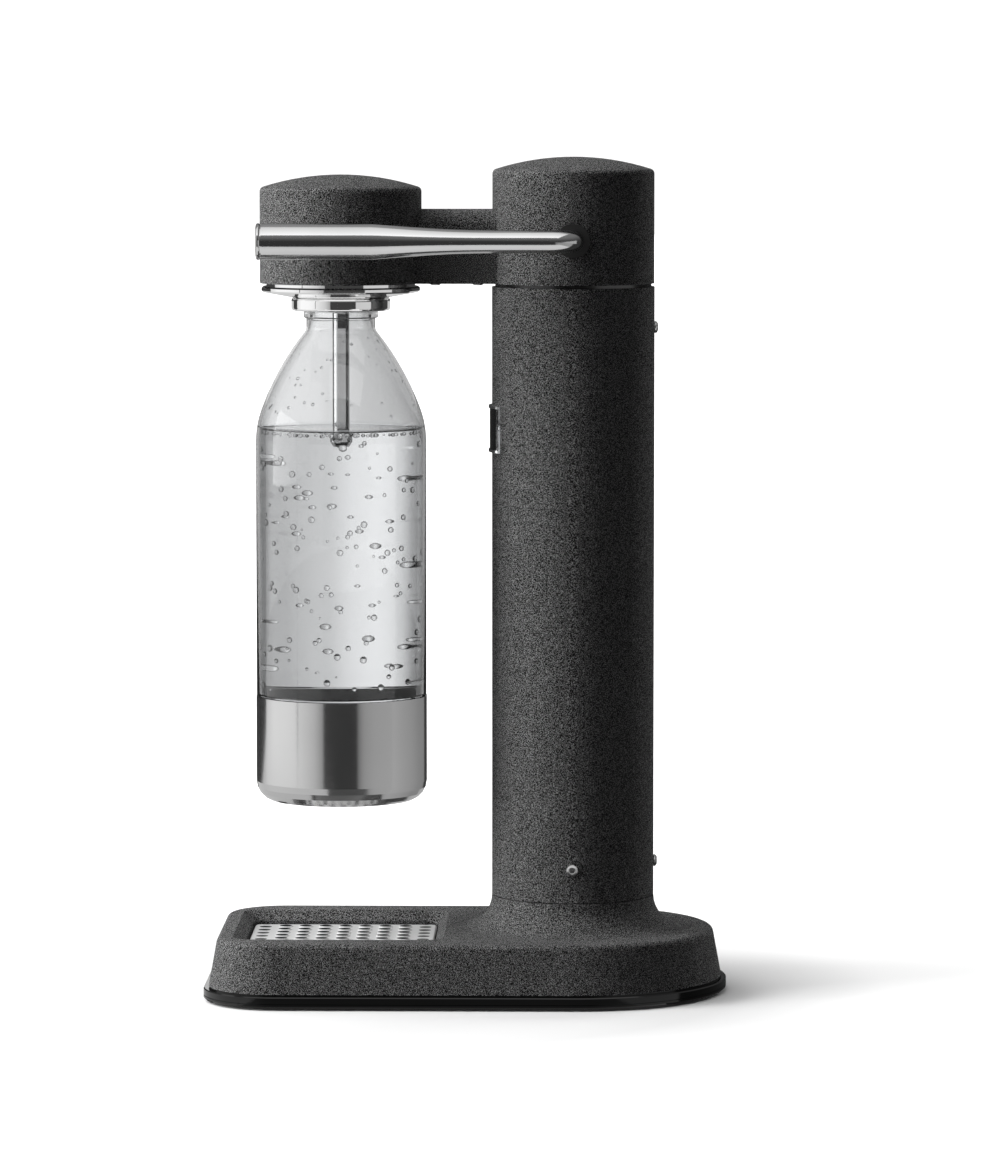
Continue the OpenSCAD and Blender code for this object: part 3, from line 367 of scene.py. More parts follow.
@dataclass(frozen=True)
class PaperFloor:
    """Pale matte paper sweep with painted light: it glows more and more away from the machine."""

    dark: float = 0.86
    light: float = 0.9
    roughness: float = 0.9
    cloud_scale: float = 3.0
    centre: Place = (-0.05, 0.0, 0.0)
    stops: tuple[Point, ...] = ((0.186, 0.0), (0.26, 0.3), (1.0, 1.0))

    def make(self, name: str) -> Material:
        """Return the floor as a material of that name, whose painted glow brings it to white past
        the shadow.
        """
        values = {"Roughness": self.roughness, "Specular IOR Level": 0.0}
        sketch = Sketch(name, values | {"Emission Strength": 1.0})
        cloud = sketch.noise(self.cloud_scale)
        sketch.tint(cloud, NOISE_RANGE, grey(self.dark), grey(self.light))
        # Painted light: the emission is nil near the machine and rises with distance from it.
        values = {0: sketch.coords(), 1: self.centre}
        away = sketch.out("ShaderNodeVectorMath", "Value", values, operation="DISTANCE")
        sketch.glow(away, self.stops)
        return sketch.material


class Palette:
    """Every finish of the machine, made once."""

    FINISHES = {
        Slot.SAND_COAT: SandCoat(),
        Slot.GLOSS_BLACK: Moulding(0.003, 0.005, (0.07, 0.12)),
        Slot.MATTE_BLACK: Moulding(0.008, 0.016, (0.4, 0.55)),
        Slot.RUBBER: Moulding(0.01, 0.02, (0.6, 0.8), 1500.0, 0.15 * MM),
        Slot.POLISHED_STEEL: Metal(
            grey(0.54), grey(0.6), (0.08, 0.13), 220.0, (1.0, 40.0, 40.0)
        ),
        Slot.SCREW_STEEL: Metal(grey(0.5), grey(0.58), (0.14, 0.26), 700.0, EVEN),
        # The grid's near-black is painted shade on the hole walls; the pale grey is the steel.
        Slot.GRID_STEEL: Metal(
            grey(0.015), grey(0.8), (0.36, 0.46), 260.0, (1.0, 30.0, 1.0), bare=0.35,
            holes=GRID_HOLES,
        ),
        Slot.CUP_STEEL: Metal(grey(0.6), grey(0.66), (0.1, 0.17), 160.0, (1.0, 1.0, 30.0)),
        Slot.CHROME: Metal(grey(0.9), grey(0.95), (0.03, 0.06), 90.0, EVEN),
        Slot.CYLINDER_METAL: Metal(
            (0.62, 0.63, 0.64, 1.0), (0.7, 0.71, 0.72, 1.0), (0.3, 0.42), 120.0
        ),
        Slot.BRASS: Metal(
            (0.6, 0.43, 0.17, 1.0), (0.72, 0.55, 0.25, 1.0), (0.2, 0.32), 300.0
        ),
        Slot.CLEAR_BOTTLE: Clear((0.88, 0.885, 0.89, 1.0), PLASTIC_IOR),
    }

    def __init__(self) -> None:
        """Make a material for each slot, the groove's ring and the bottle's contents."""
        self.by_slot = {slot: finish.make(slot.value) for slot, finish in self.FINISHES.items()}
        water = Clear((0.965, 0.97, 0.975, 1.0), 1.333, wave_scale=25.0)
        self.water = water.make("still_water")
        self.bubble = Clear(grey(0.95), 1.4, wave_scale=400.0).make("gas_bubble")
        self.tick = Moulding(0.75, 0.8, (0.4, 0.5)).make("tick_white")
        groove = Metal(grey(0.05), grey(0.08), (0.2, 0.3), 200.0)
        self.special = {"joint_ring": groove.make("groove_steel")}

    def __getitem__(self, slot: Slot) -> Material:
        """Return the material of a slot."""
        return self.by_slot[slot]

    def dress_nodes(self) -> None:
        """Give every node the finish of its slot, or its own."""
        for row in frame["record"]["subparts"]:
            node = frame["nodes"][row["node"]]
            material = self.special.get(row["node"], self[Slot(row["material_slot"])])
            if not node.material_slots:
                node.data.materials.append(material)
            for place in node.material_slots:
                place.material = material


# Meshes


def link(name: str, mesh: Mesh, finish: Material | None = None) -> Object:
    """Put a mesh, with its finish where one is given, into the scene at the origin."""
    if finish:
        mesh.materials.append(finish)
    piece = bpy.data.objects.new(name, mesh)
    bpy.context.scene.collection.objects.link(piece)
    return piece


def arc(centre: Point, radius: float, start: float, stop: float, steps: int = 12) -> list[Point]:
    """Return points along an arc.

    Args:
        centre: Centre as radius and height.
        radius: Radius of the arc.
        start: First angle in degrees.
        stop: Last angle in degrees.
        steps: Number of chords.

    Returns:
        The points, first and last included.
    """
    turns = [math.radians(start + (stop - start) * k / steps) for k in range(steps + 1)]
    return [(centre[0] + radius * math.cos(a), centre[1] + radius * math.sin(a)) for a in turns]


def lathe(
    name: str, outline: Sequence[Point], centre: Point, sides: int, hexed: Sequence[int] = ()
) -> Mesh:
    """Turn an outline of radius and height about an upright axis.

    Args:
        name: Name of the mesh.
        outline: Points from pole to pole, or a loop that is closed.
        centre: Place of the axis in plan.
        sides: Faces round the axis.
        hexed: Points of the outline whose ring is a hexagon of that inner radius.

    Returns:
        A closed mesh whose faces point outwards.
    """
    form = bmesh.new()
    pole = 1e-7
    sixth = math.pi / 3.0
    rings = []
    for place, (radius, height) in enumerate(outline):
        ring = []
        for k in range(1 if radius < pole else sides):
            turn = 2.0 * math.pi * k / sides
            reach = radius
            if place in hexed:
                reach = radius / math.cos(turn % sixth - sixth / 2.0)
            x, y = centre[0] + reach * math.cos(turn), centre[1] + reach * math.sin(turn)
            ring.append(form.verts.new((x, y, height)))
        rings.append(ring)
    closed = outline[0][0] > pole
    pairs = list(zip(rings, rings[1:])) + ([(rings[-1], rings[0])] if closed else [])
    for low, high in pairs:
        for k in range(sides):
            face = [low[k % len(low)], low[(k + 1) % len(low)]]
            face += [high[(k + 1) % len(high)], high[k % len(high)]]
            face = list(dict.fromkeys(face))
            if len(face) > 2:
                form.faces.new(face)
    bmesh.ops.recalc_face_normals(form, faces=form.faces)
    mesh = bpy.data.meshes.new(name)
    form.to_mesh(mesh)
    form.free()
    mesh.shade_smooth()
    mesh.set_sharp_from_angle(angle=SHARP_ANGLE)
    return mesh


class Pattern(Nodes):
    """A Geometry Nodes tree with named inputs, run once and kept as a plain mesh."""

    def __init__(self, name: str) -> None:
        """Start an empty tree of that name."""
        super().__init__(bpy.data.node_groups.new(name, "GeometryNodeTree"))
        self.name = name
        self.tree.interface.new_socket(
            "Geometry", in_out="OUTPUT", socket_type="NodeSocketGeometry"
        )
        self.source = self.tree.nodes.new("NodeGroupInput")
        self.values: dict[str, Any] = {}

    def size(self, name: str, kind: str, value: Any) -> NodeSocket:
        """Add a named input.

        Args:
            name: Name of the input.
            kind: Float, Int, Vector, Object, Material or Geometry.
            value: What this run sets it to.

        Returns:
            The socket that gives the value inside the tree.
        """
        kind_name = "NodeSocket" + kind
        entry = self.tree.interface.new_socket(name, in_out="INPUT", socket_type=kind_name)
        if kind != "Geometry":
            self.values[entry.identifier] = value
        return self.source.outputs[name]

    def ground(self) -> NodeSocket:
        """Return the carrier's mesh, as an input."""
        return self.size("Geometry", "Geometry", None)

    def bead(self, segments: int, rings: int, flat: float = 1.0) -> NodeSocket:
        """Return a smooth bead of radius 1; flat is its height against its width."""
        values = {"Segments": segments, "Rings": rings, "Radius": 1.0}
        ball = self.out("GeometryNodeMeshUVSphere", "Mesh", values)
        values = {"Geometry": ball, "Scale": (1.0, 1.0, flat)}
        shaped = self.out("GeometryNodeTransform", "Geometry", values)
        return self.out("GeometryNodeSetShadeSmooth", "Geometry", {"Geometry": shaped})

    def circle(self, steps: int, radius: NodeSocket) -> NodeSocket:
        """Return a circle as a curve of that many steps."""
        values = {"Resolution": steps, "Radius": radius}
        return self.out("GeometryNodeCurvePrimitiveCircle", "Curve", values)

    def sweep(self, path: NodeSocket, profile: NodeSocket, capped: bool) -> NodeSocket:
        """Return the mesh of a profile swept along a path, its ends closed or not."""
        values = {"Curve": path, "Profile Curve": profile, "Fill Caps": capped}
        return self.out("GeometryNodeCurveToMesh", "Mesh", values)

    def copies(self, points: NodeSocket, piece: NodeSocket, **more: NodeSocket) -> NodeSocket:
        """Return a copy of a piece on each point; more gives their Rotation or Scale."""
        values = {"Points": points, "Instance": piece} | more
        return self.out("GeometryNodeInstanceOnPoints", "Instances", values)

    def moved(self, geometry: NodeSocket, place: Place) -> NodeSocket:
        """Return a geometry moved to a place, as an input."""
        values = {"Geometry": geometry, "Translation": self.size("Place", "Vector", place)}
        return self.out("GeometryNodeTransform", "Geometry", values)

    def own(self, name: str, kind: str) -> NodeSocket:
        """Return the carrier's attribute of that name and kind."""
        return self.out("GeometryNodeInputNamedAttribute", 0, {"Name": name}, data_type=kind)

    def close(self, geometry: NodeSocket, finish: Material) -> None:
        """End the tree: the instances are made real and get their finish."""
        material = self.size("Finish", "Material", finish)
        real = self.out("GeometryNodeRealizeInstances", "Geometry", {"Geometry": geometry})
        values = {"Geometry": real, "Material": material}
        dressed = self.out("GeometryNodeSetMaterial", "Geometry", values)
        self.add("NodeGroupOutput", {"Geometry": dressed})

    def run(self, carrier: Mesh | None = None) -> Object:
        """Run the tree once.

        Args:
            carrier: The mesh that the pattern lies on, or None where it needs none.

        Returns:
            An object at the origin whose plain mesh is the result.
        """
        carrier_name = self.name + "_carrier"
        holder = link(carrier_name, carrier or bpy.data.meshes.new(carrier_name))
        modifier = holder.modifiers.new(self.name, "NODES")
        modifier.node_group = self.tree
        for identifier, value in self.values.items():
            modifier[identifier] = value
        graph = bpy.context.evaluated_depsgraph_get()
        graph.update()
        mesh = bpy.data.meshes.new_from_object(holder.evaluated_get(graph), depsgraph=graph)
        mesh.name = self.name
        holder.modifiers.remove(modifier)
        bpy.data.objects.remove(holder)
        bpy.data.node_groups.remove(self.tree)
        return link(self.name, mesh)


def settle(piece: Object, body: Body, slot: Slot, *nodes: str) -> Object:
    """Let a piece ride on a body and stand for nodes.

    Args:
        piece: The finished piece.
        body: The body it moves with.
        slot: Not used.
        nodes: The nodes that it replaces.

    Returns:
        The piece.
    """
    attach(piece, body.value)
    if nodes:
        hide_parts(*nodes)
    LOG.info("%s rides on %s, %d faces", piece.name, body.value, len(piece.data.polygons))
    return piece


def centre_of(node: str) -> Point:
    """Return the middle of a node's box in plan."""
    low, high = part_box(node)
    return ((low.x + high.x) / 2.0, (low.y + high.y) / 2.0)


# Bottle


@dataclass(frozen=True)
class Beads:
    """Round beads that lie scattered over a surface, with a fixed seed."""

    crowd: float
    radii: Point
    flat: float
    seed: int
    segments: int = 10
    rings: int = 6

    def build(self, name: str, carrier: Mesh, finish: Material) -> None:
        """Scatter the beads.

        Args:
            name: Name of the piece.
            carrier: The surface that the beads lie on.
            finish: Their material.
        """
        tree = Pattern(name)
        ground = tree.ground()
        seed = tree.size("Seed", "Int", self.seed)
        crowd = tree.size("Crowd", "Float", self.crowd)
        values = {"Mesh": ground, "Density": crowd, "Seed": seed}
        spread = tree.add("GeometryNodeDistributePointsOnFaces", values).outputs
        least = tree.size("Least radius", "Float", self.radii[0])
        most = tree.size("Most radius", "Float", self.radii[1])
        width = tree.out("FunctionNodeRandomValue", 1, {2: least, 3: most, "Seed": seed})
        bead = tree.bead(self.segments, self.rings, self.flat)
        beads = tree.copies(spread["Points"], bead, Rotation=spread["Rotation"], Scale=width)
        tree.close(beads, finish)
        settle(tree.run(carrier), Body.BOTTLE, Slot.CLEAR_BOTTLE)


@dataclass
class Bottle:
    """The clear bottle with its water, bubbles, drops and fill ticks."""

    palette: Palette
    shell_sides: int = 160
    water_sides: int = 128
    carrier_sides: int = 64
    wall: float = 1.5 * MM
    low_r: float = 48.0 * MM
    low_angle: float = 20.0
    high_r: float = 136.0 * MM
    neck_r: float = 17.1 * MM
    neck_fillet: float = 4.0 * MM
    neck_len: float = 4.5 * MM
    ring_r: float = 18.4 * MM
    ring_h: float = 3.3 * MM
    ring_edge: float = 0.7 * MM
    mouth_r: float = 16.5 * MM
    bore_r: float = 13.5 * MM
    foot_r: float = 41.3 * MM
    foot_edge: float = 8.9 * MM
    step_above_foot: float = 51.5 * MM
    step_walls: float = 3.0
    mouth_above_ring: float = 13.4 * MM
    water_top: float = 279.4 * MM
    water_gap: float = 0.12 * MM
    surface_shares: tuple[float, ...] = (0.8, 0.5, 0.25)
    meniscus: float = 1.6 * MM
    tick_levels: tuple[float, ...] = (256.7 * MM, 155.9 * MM)
    tick_span: Point = (-38.0, -16.0)
    tick_steps: int = 12
    tick_sides: int = 8
    tick_r: float = 0.35 * MM
    bubbles: Beads = Beads(4100.0, (0.55 * MM, 1.85 * MM), 1.0, 4)
    bubble_ends: Point = (4.0 * MM, 3.0 * MM)
    foam: Beads = Beads(240000.0, (0.6 * MM, 1.5 * MM), 0.75, 9)
    foam_depth: float = 1.2 * MM
    foam_size: Point = (1.0 * MM, 0.3 * MM)
    drops: Beads = Beads(1900.0, (0.35 * MM, 1.0 * MM), 0.45, 21)
    drops_above: float = 4.0 * MM
    skin: float = 0.1 * MM
    tip_bubbles: tuple[tuple[float, float, float, float], ...] = (
        (-4.6, -2.4, -2.2, 1.9), (-1.2, -5.2, -4.6, 2.1), (3.4, -4.2, -2.6, 1.8),
        (5.6, -1.0, -3.4, 1.5), (0.8, -4.0, -9.0, 1.7), (2.6, -3.0, -13.4, 1.2),
        (6.0, -6.0, -1.6, 1.3), (-7.4, -4.0, -1.4, 1.2),
    )
    centre: Point = field(init=False)
    body_r: float = field(init=False)
    foot_z: float = field(init=False)
    mouth_z: float = field(init=False)

    def __post_init__(self) -> None:
        """Take the axis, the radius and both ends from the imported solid."""
        low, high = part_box("bottle")
        self.centre = centre_of("bottle")
        self.body_r = (high.x - low.x) / 2.0
        self.foot_z = low.z
        self.mouth_z = high.z

    @property
    def ring_z(self) -> float:
        """Lower face of the support ring."""
        return self.mouth_z - self.mouth_above_ring - self.ring_h

    @property
    def step_z(self) -> float:
        """Height of the step that the cup ends at."""
        return self.foot_z + self.step_above_foot

    @property
    def foot_mid(self) -> Point:
        """Centre of the rounding at the foot, as radius and height."""
        return (self.foot_r - self.foot_edge, self.foot_z + self.foot_edge)

    def shoulder(self, inset: float) -> list[Point]:
        """Return the shoulder from body to neck, moved inwards by an inset."""
        neck_z = self.ring_z - self.neck_len
        neck_mid = (self.neck_r + self.neck_fillet, neck_z)
        low = math.radians(self.low_angle)
        mid_r = self.body_r - self.low_r * (1.0 - math.cos(low))
        rise = self.neck_r + self.neck_fillet - mid_r + self.high_r * math.cos(low)
        high = math.acos(rise / (self.high_r + self.neck_fillet))
        start = neck_z - self.low_r * math.sin(low)
        start -= self.high_r * (math.sin(high) - math.sin(low))
        start -= self.neck_fillet * math.sin(high)
        low_mid = (self.body_r - self.low_r, start)
        step = self.high_r - self.low_r
        high_mid = (low_mid[0] - step * math.cos(low), low_mid[1] - step * math.sin(low))
        top = math.degrees(high)
        return (
            arc(low_mid, self.low_r - inset, 0.0, self.low_angle)
            + arc(high_mid, self.high_r - inset, self.low_angle, top, steps=24)[1:]
            + arc(neck_mid, self.neck_fillet + inset, 180.0 + top, 180.0)[1:]
        )

    def inner(self, inset: float) -> list[Point]:
        """Return the inner face from floor to neck, moved inwards by an inset."""
        edge = self.foot_edge - self.wall
        return (
            [(0.0, self.foot_z + self.wall + inset)]
            + arc(self.foot_mid, edge - inset, 270.0, 360.0)
            + [(self.foot_r - self.wall - inset, self.step_z - self.wall)]
            + [(self.body_r - self.wall - inset, self.step_z + self.step_walls * self.wall)]
            + self.shoulder(self.wall + inset)
        )

    def build_shell(self) -> None:
        """Turn the clear shell, with a rounded support ring and lip."""
        edge = self.ring_edge
        ring_top = self.ring_z + self.ring_h
        lip = (self.mouth_r + self.bore_r) / 2.0
        lip_r = (self.mouth_r - self.bore_r) / 2.0
        outer = (
            [(0.0, self.foot_z)]
            + arc(self.foot_mid, self.foot_edge, 270.0, 360.0)
            + [(self.foot_r, self.step_z), (self.body_r - edge, self.step_z)]
            + [(self.body_r, self.step_z + edge)]
            + self.shoulder(0.0)
            + [(self.neck_r, self.ring_z)]
            + arc((self.ring_r - edge, self.ring_z + edge), edge, 270.0, 360.0, steps=6)
            + arc((self.ring_r - edge, ring_top - edge), edge, 0.0, 90.0, steps=6)
            + [(self.mouth_r, ring_top)]
            + arc((lip, self.mouth_z - lip_r), lip_r, 0.0, 180.0)
            + [(self.bore_r, ring_top)]
        )
        outline = outer + self.inner(0.0)[::-1]
        mesh = lathe("bottle_shell", outline, self.centre, self.shell_sides)
        shell = link("bottle_shell", mesh, self.palette[Slot.CLEAR_BOTTLE])
        settle(shell, Body.BOTTLE, Slot.CLEAR_BOTTLE, "bottle")

    def build_water(self) -> None:
        """Turn the water, whose surface climbs the wall a little."""
        rim_z = self.water_top + self.meniscus
        wall = [p for p in self.inner(self.water_gap) if p[1] < rim_z]
        edge_r = wall[-1][0]
        lift = arc((edge_r - self.meniscus, rim_z), self.meniscus, 0.0, -90.0, steps=8)
        surface = [(edge_r * share, self.water_top) for share in (*self.surface_shares, 0.0)]
        mesh = lathe("bottle_water", wall + lift + surface, self.centre, self.water_sides)
        water = link("bottle_water", mesh, self.palette.water)
        settle(water, Body.BOTTLE, Slot.CLEAR_BOTTLE)

    def build_bubbles(self) -> None:
        """Let bubbles cling to the wall and crowd under the surface."""
        wall_r = self.body_r - self.wall - self.water_gap - self.bubbles.radii[1]
        low = self.step_z + self.bubble_ends[0]
        high = self.water_top - self.bubble_ends[1]
        outline = [(wall_r, low), (wall_r, high), (wall_r - self.skin, high)]
        side = lathe("bubble_side", outline, self.centre, self.carrier_sides)
        self.bubbles.build("wall_bubbles", side, self.palette.bubble)
        top = self.water_top - self.foam_depth
        wide, deep = self.foam_size
        outline = [(wall_r - wide, top), (wall_r, top), (wall_r, top - deep)]
        ring = lathe("foam_ring", outline, self.centre, self.carrier_sides)
        self.foam.build("surface_bubbles", ring, self.palette.bubble)

    def build_drops(self) -> None:
        """Leave fine drops on the inside of the shoulder."""
        least_z = self.water_top + self.drops_above
        inner = [p for p in self.shoulder(self.wall + self.skin) if p[1] > least_z]
        thin = [(r - self.skin, z) for r, z in inner[::-1]]
        shoulder = lathe("drop_shoulder", inner + thin, self.centre, self.carrier_sides)
        self.drops.build("shoulder_drops", shoulder, self.palette.water)

    def build_tip_bubbles(self) -> None:
        """Hang large bubbles round the nozzle's tip, where the gas comes out."""
        tip = Vector((*self.centre, self.water_top))
        tree = Pattern("tip_bubbles")
        radius = tree.own("bubble_radius", "FLOAT")
        beads = tree.copies(tree.ground(), tree.bead(segments=16, rings=10), Scale=radius)
        tree.close(beads, self.palette.bubble)
        carrier = bpy.data.meshes.new("tip_points")
        carrier.from_pydata([tip + MM * Vector(row[:3]) for row in self.tip_bubbles], [], [])
        sizes = carrier.attributes.new("bubble_radius", "FLOAT", "POINT")
        sizes.data.foreach_set("value", [MM * row[3] for row in self.tip_bubbles])
        settle(tree.run(carrier), Body.BOTTLE, Slot.CLEAR_BOTTLE)

    def build_ticks(self) -> None:
        """Print short fill ticks round the right of the front, swept along arcs."""
        carrier = bpy.data.meshes.new("tick_paths")
        line = arc(self.centre, self.body_r, *self.tick_span, self.tick_steps)
        points = [(*point, level) for level in self.tick_levels for point in line]
        edges = [(k, k + 1) for k in range(len(points) - 1) if (k + 1) % len(line)]
        carrier.from_pydata(points, edges, [])
        tree = Pattern("fill_ticks")
        path = tree.out("GeometryNodeMeshToCurve", "Curve", {"Mesh": tree.ground()})
        radius = tree.size("Tick radius", "Float", self.tick_r)
        tree.close(
            tree.sweep(path, tree.circle(self.tick_sides, radius), True), self.palette.tick
        )
        settle(tree.run(carrier), Body.BOTTLE, Slot.CLEAR_BOTTLE)

    def build(self) -> None:
        """Build every piece of the bottle."""
        self.build_shell()
        self.build_water()
        self.build_bubbles()
        self.build_tip_bubbles()
        self.build_drops()
        self.build_ticks()


# Fasteners, grid and spring


@dataclass
class ButtonScrews:
    """Button-head screws with a hexagon socket; shares are of the head's radius and height."""

    name: str
    nodes: tuple[str, ...]
    finish: Material
    head_r: float
    head_h: float
    shank_r: float
    shank_len: float
    edge_share: float = 0.3
    under_share: float = 0.2
    dome_share: float = 1.4
    dome_angle: float = 40.0
    crown: tuple[Point, ...] = ((0.78, 0.8), (0.62, 0.97))
    socket: float = 0.42
    socket_lead: float = 1.22
    socket_levels: Place = (0.92, 0.3, 0.18)
    sides: int = 24

    def head(self) -> Object:
        """Turn one screw along +Z, its seat at the origin."""
        flat = self.socket * self.head_r
        edge = self.edge_share * self.head_h
        dome_r = self.dome_share * edge
        dome = arc((self.head_r - dome_r, edge), dome_r, 0.0, self.dome_angle, steps=4)
        lead_z, floor_z, tip_z = (share * self.head_h for share in self.socket_levels)
        outline = (
            [(0.0, -self.shank_len), (self.shank_r, -self.shank_len), (self.shank_r, 0.0)]
            + [(self.head_r - self.under_share * edge, 0.0)]
            + dome
            + [(r * self.head_r, h * self.head_h) for r, h in self.crown]
            + [(self.socket_lead * flat, self.head_h)]
        )
        hexed = (len(outline), len(outline) + 1)
        outline += [(flat, lead_z), (flat, floor_z), (0.0, tip_z)]
        name = self.name + "_head"
        return link(name, lathe(name, outline, (0.0, 0.0), self.sides, hexed))

    def build(self, seats: Sequence[tuple[Vector, Vector]]) -> None:
        """Set a screw on each seat, given as its place and its outward direction."""
        head = self.head()
        tree = Pattern(self.name)
        ground = tree.ground()
        screw_in = tree.size("Screw", "Object", head)
        screw = tree.out("GeometryNodeObjectInfo", "Geometry", {"Object": screw_in})
        axis = {"Vector": tree.own("axis", "FLOAT_VECTOR")}
        turn = tree.out("FunctionNodeAlignRotationToVector", "Rotation", axis, axis="Z")
        tree.close(tree.copies(ground, screw, Rotation=turn), self.finish)
        carrier = bpy.data.meshes.new(self.name + "_seats")
        carrier.from_pydata([seat for seat, _ in seats], [], [])
        axes = carrier.attributes.new("axis", "FLOAT_VECTOR", "POINT")
        axes.data.foreach_set("vector", [part for _, out in seats for part in out])
        piece = tree.run(carrier)
        bpy.data.objects.remove(head)
        settle(piece, Body.FRAME, Slot.SCREW_STEEL, *self.nodes)


@dataclass
class Fasteners:
    """The screws that show on the column and under the arm."""

    steel: Material
    column_head_r: float = 3.0 * MM
    column_head_h: float = 1.7 * MM
    column_shank_r: float = 2.0 * MM
    arm_head_r: float = 2.6 * MM
    arm_head_h: float = 1.0 * MM
    arm_shank_r: float = 1.25 * MM

    def build_column(self) -> None:
        """Set the screws round the column's foot and the one high on its rear."""
        x, y = centre_of("column_tube")
        foot_low, foot_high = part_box("column_foot_screws")
        top_low, top_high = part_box("column_top_screw")
        seat = top_high.x - x - self.column_head_h
        foot_z = (foot_low.z + foot_high.z) / 2.0
        top_z = (top_low.z + top_high.z) / 2.0
        aims = ((0.0, -1.0, foot_z), (0.0, 1.0, foot_z), (1.0, 0.0, foot_z), (1.0, 0.0, top_z))
        seats = [
            (Vector((x + seat * dx, y + seat * dy, z)), Vector((dx, dy, 0.0)))
            for dx, dy, z in aims
        ]
        ButtonScrews(
            "column_screws", ("column_foot_screws", "column_top_screw"), self.steel,
            self.column_head_r, self.column_head_h, self.column_shank_r,
            top_high.x - top_low.x - self.column_head_h,
        ).build(seats)

    def build_arm(self) -> None:
        """Set the two screws of the arm's cover."""
        low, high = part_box("arm_screws")
        level = low.z + self.arm_head_h
        middle = (low.y + high.y) / 2.0
        places = (low.x + self.arm_head_r, high.x - self.arm_head_r)
        down = Vector((0.0, 0.0, -1.0))
        ButtonScrews(
            "arm_cover_screws", ("arm_screws",), self.steel, self.arm_head_r, self.arm_head_h,
            self.arm_shank_r, high.z - level,
        ).build([(Vector((x, middle, level)), down) for x in places])

    def build(self) -> None:
        """Build the column's and the arm's screws."""
        self.build_column()
        self.build_arm()


@dataclass
class DripGrid:
    """The rolled rims round the holes of the drip grid."""

    palette: Palette
    holes: HoleField = GRID_HOLES
    bead_r: float = 0.25 * MM
    ring_steps: int = 28
    bead_steps: int = 8

    def build(self) -> None:
        """Lay a rounded bead on each rim."""
        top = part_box("drip_grid")[1].z
        tree = Pattern("grid_rims")
        bead_in = tree.size("Bead radius", "Float", self.bead_r)
        columns, rows = self.holes.columns, self.holes.rows
        length, width = self.holes.pitch[0] * (columns - 1), self.holes.pitch[1] * (rows - 1)
        lines = tree.out("GeometryNodeMeshGrid", "Mesh", {
            "Vertices X": tree.size("Columns", "Int", columns),
            "Vertices Y": tree.size("Rows", "Int", rows),
            "Size X": tree.size("Length", "Float", length),
            "Size Y": tree.size("Width", "Float", width),
        })
        ring_in = tree.size("Rim radius", "Float", self.holes.radius + self.bead_r)
        path, profile = tree.circle(self.ring_steps, ring_in), tree.circle(self.bead_steps, bead_in)
        rim = {"Geometry": tree.sweep(path, profile, False)}
        rims = tree.copies(lines, tree.out("GeometryNodeSetShadeSmooth", "Geometry", rim))
        place = (*centre_of("drip_grid"), top - self.bead_r / 2.0)
        tree.close(tree.moved(rims, place), self.palette[Slot.GRID_STEEL])
        settle(tree.run(), Body.GRID, Slot.GRID_STEEL)


@dataclass
class PlungerSpring:
    """The return spring under the plunger's head."""

    palette: Palette
    turns: float = 3.0
    turn_steps: int = 36
    wire_r: float = 0.5 * MM
    wire_steps: int = 12
    stroke: float = 2.5 * MM

    def build(self) -> None:
        """Wind the spring."""
        low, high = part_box("plunger_spring")
        axis = centre_of("plunger_spring")
        mean_r = (high.x - low.x) / 2.0 - self.wire_r
        rise = high.z - low.z - 2.0 * self.wire_r
        tree = Pattern("return_spring")
        mean_in = tree.size("Mean radius", "Float", mean_r)
        path = tree.out("GeometryNodeCurveSpiral", "Curve", {
            "Resolution": self.turn_steps, "Rotations": tree.size("Turns", "Float", self.turns),
            "Start Radius": mean_in, "End Radius": mean_in,
            "Height": tree.size("Rise", "Float", rise),
        })
        wire_in = tree.size("Wire radius", "Float", self.wire_r)
        wire = tree.sweep(path, tree.circle(self.wire_steps, wire_in), True)
        place = (*axis, low.z + self.wire_r)
        tree.close(tree.moved(wire, place), self.palette[Slot.SCREW_STEEL])
        piece = settle(tree.run(), Body.FRAME, Slot.SCREW_STEEL, "plunger_spring")
        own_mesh(piece)


# Studio


@dataclass
class Softbox:
    """A flat studio light that points at the machine and lights its matte surfaces."""

    name: str
    place: Place
    aim: Place
    width: float
    height: float
    glow: float

    def build(self) -> None:
        """Hang the light; its glow is the brightness of its face."""
        lamp = bpy.data.lights.new(self.name, "AREA")
        lamp.shape = "RECTANGLE"
        lamp.size = self.width
        lamp.size_y = self.height
        lamp.energy = self.glow * math.pi * self.width * self.height
        holder = bpy.data.objects.new(self.name, lamp)
        holder.location = self.place
        facing = Vector(self.aim) - Vector(self.place)
        holder.rotation_euler = facing.to_track_quat("-Z", "Y").to_euler()
        holder.visible_camera = False
        holder.visible_glossy = False
        holder.visible_transmission = False
        bpy.context.scene.collection.objects.link(holder)


Corners = tuple[Place, Place, Place, Place]


def upright(start: Point, stop: Point, low: float, high: float) -> Corners:
    """Return the corners of an upright card between two places in plan and two heights."""
    return ((*start, low), (*stop, low), (*stop, high), (*start, high))


def lying(near: Point, far: Point, z: float) -> Corners:
    """Return the corners of a level card between two opposite places in plan."""
    return ((*near, z), (far[0], near[1], z), (*far, z), (near[0], far[1], z))


def sheet(name: str, edge: Corners, finish: Material) -> Object:
    """Put a flat sheet between four corners into the scene."""
    mesh = bpy.data.meshes.new(name)
    mesh.from_pydata(edge, [], [range(len(edge))])
    return link(name, mesh, finish)


class Seen(Enum):
    """Kinds of rays that may show a glowing card."""

    MIRRORED = "glossy"
    THROUGH = "transmission"


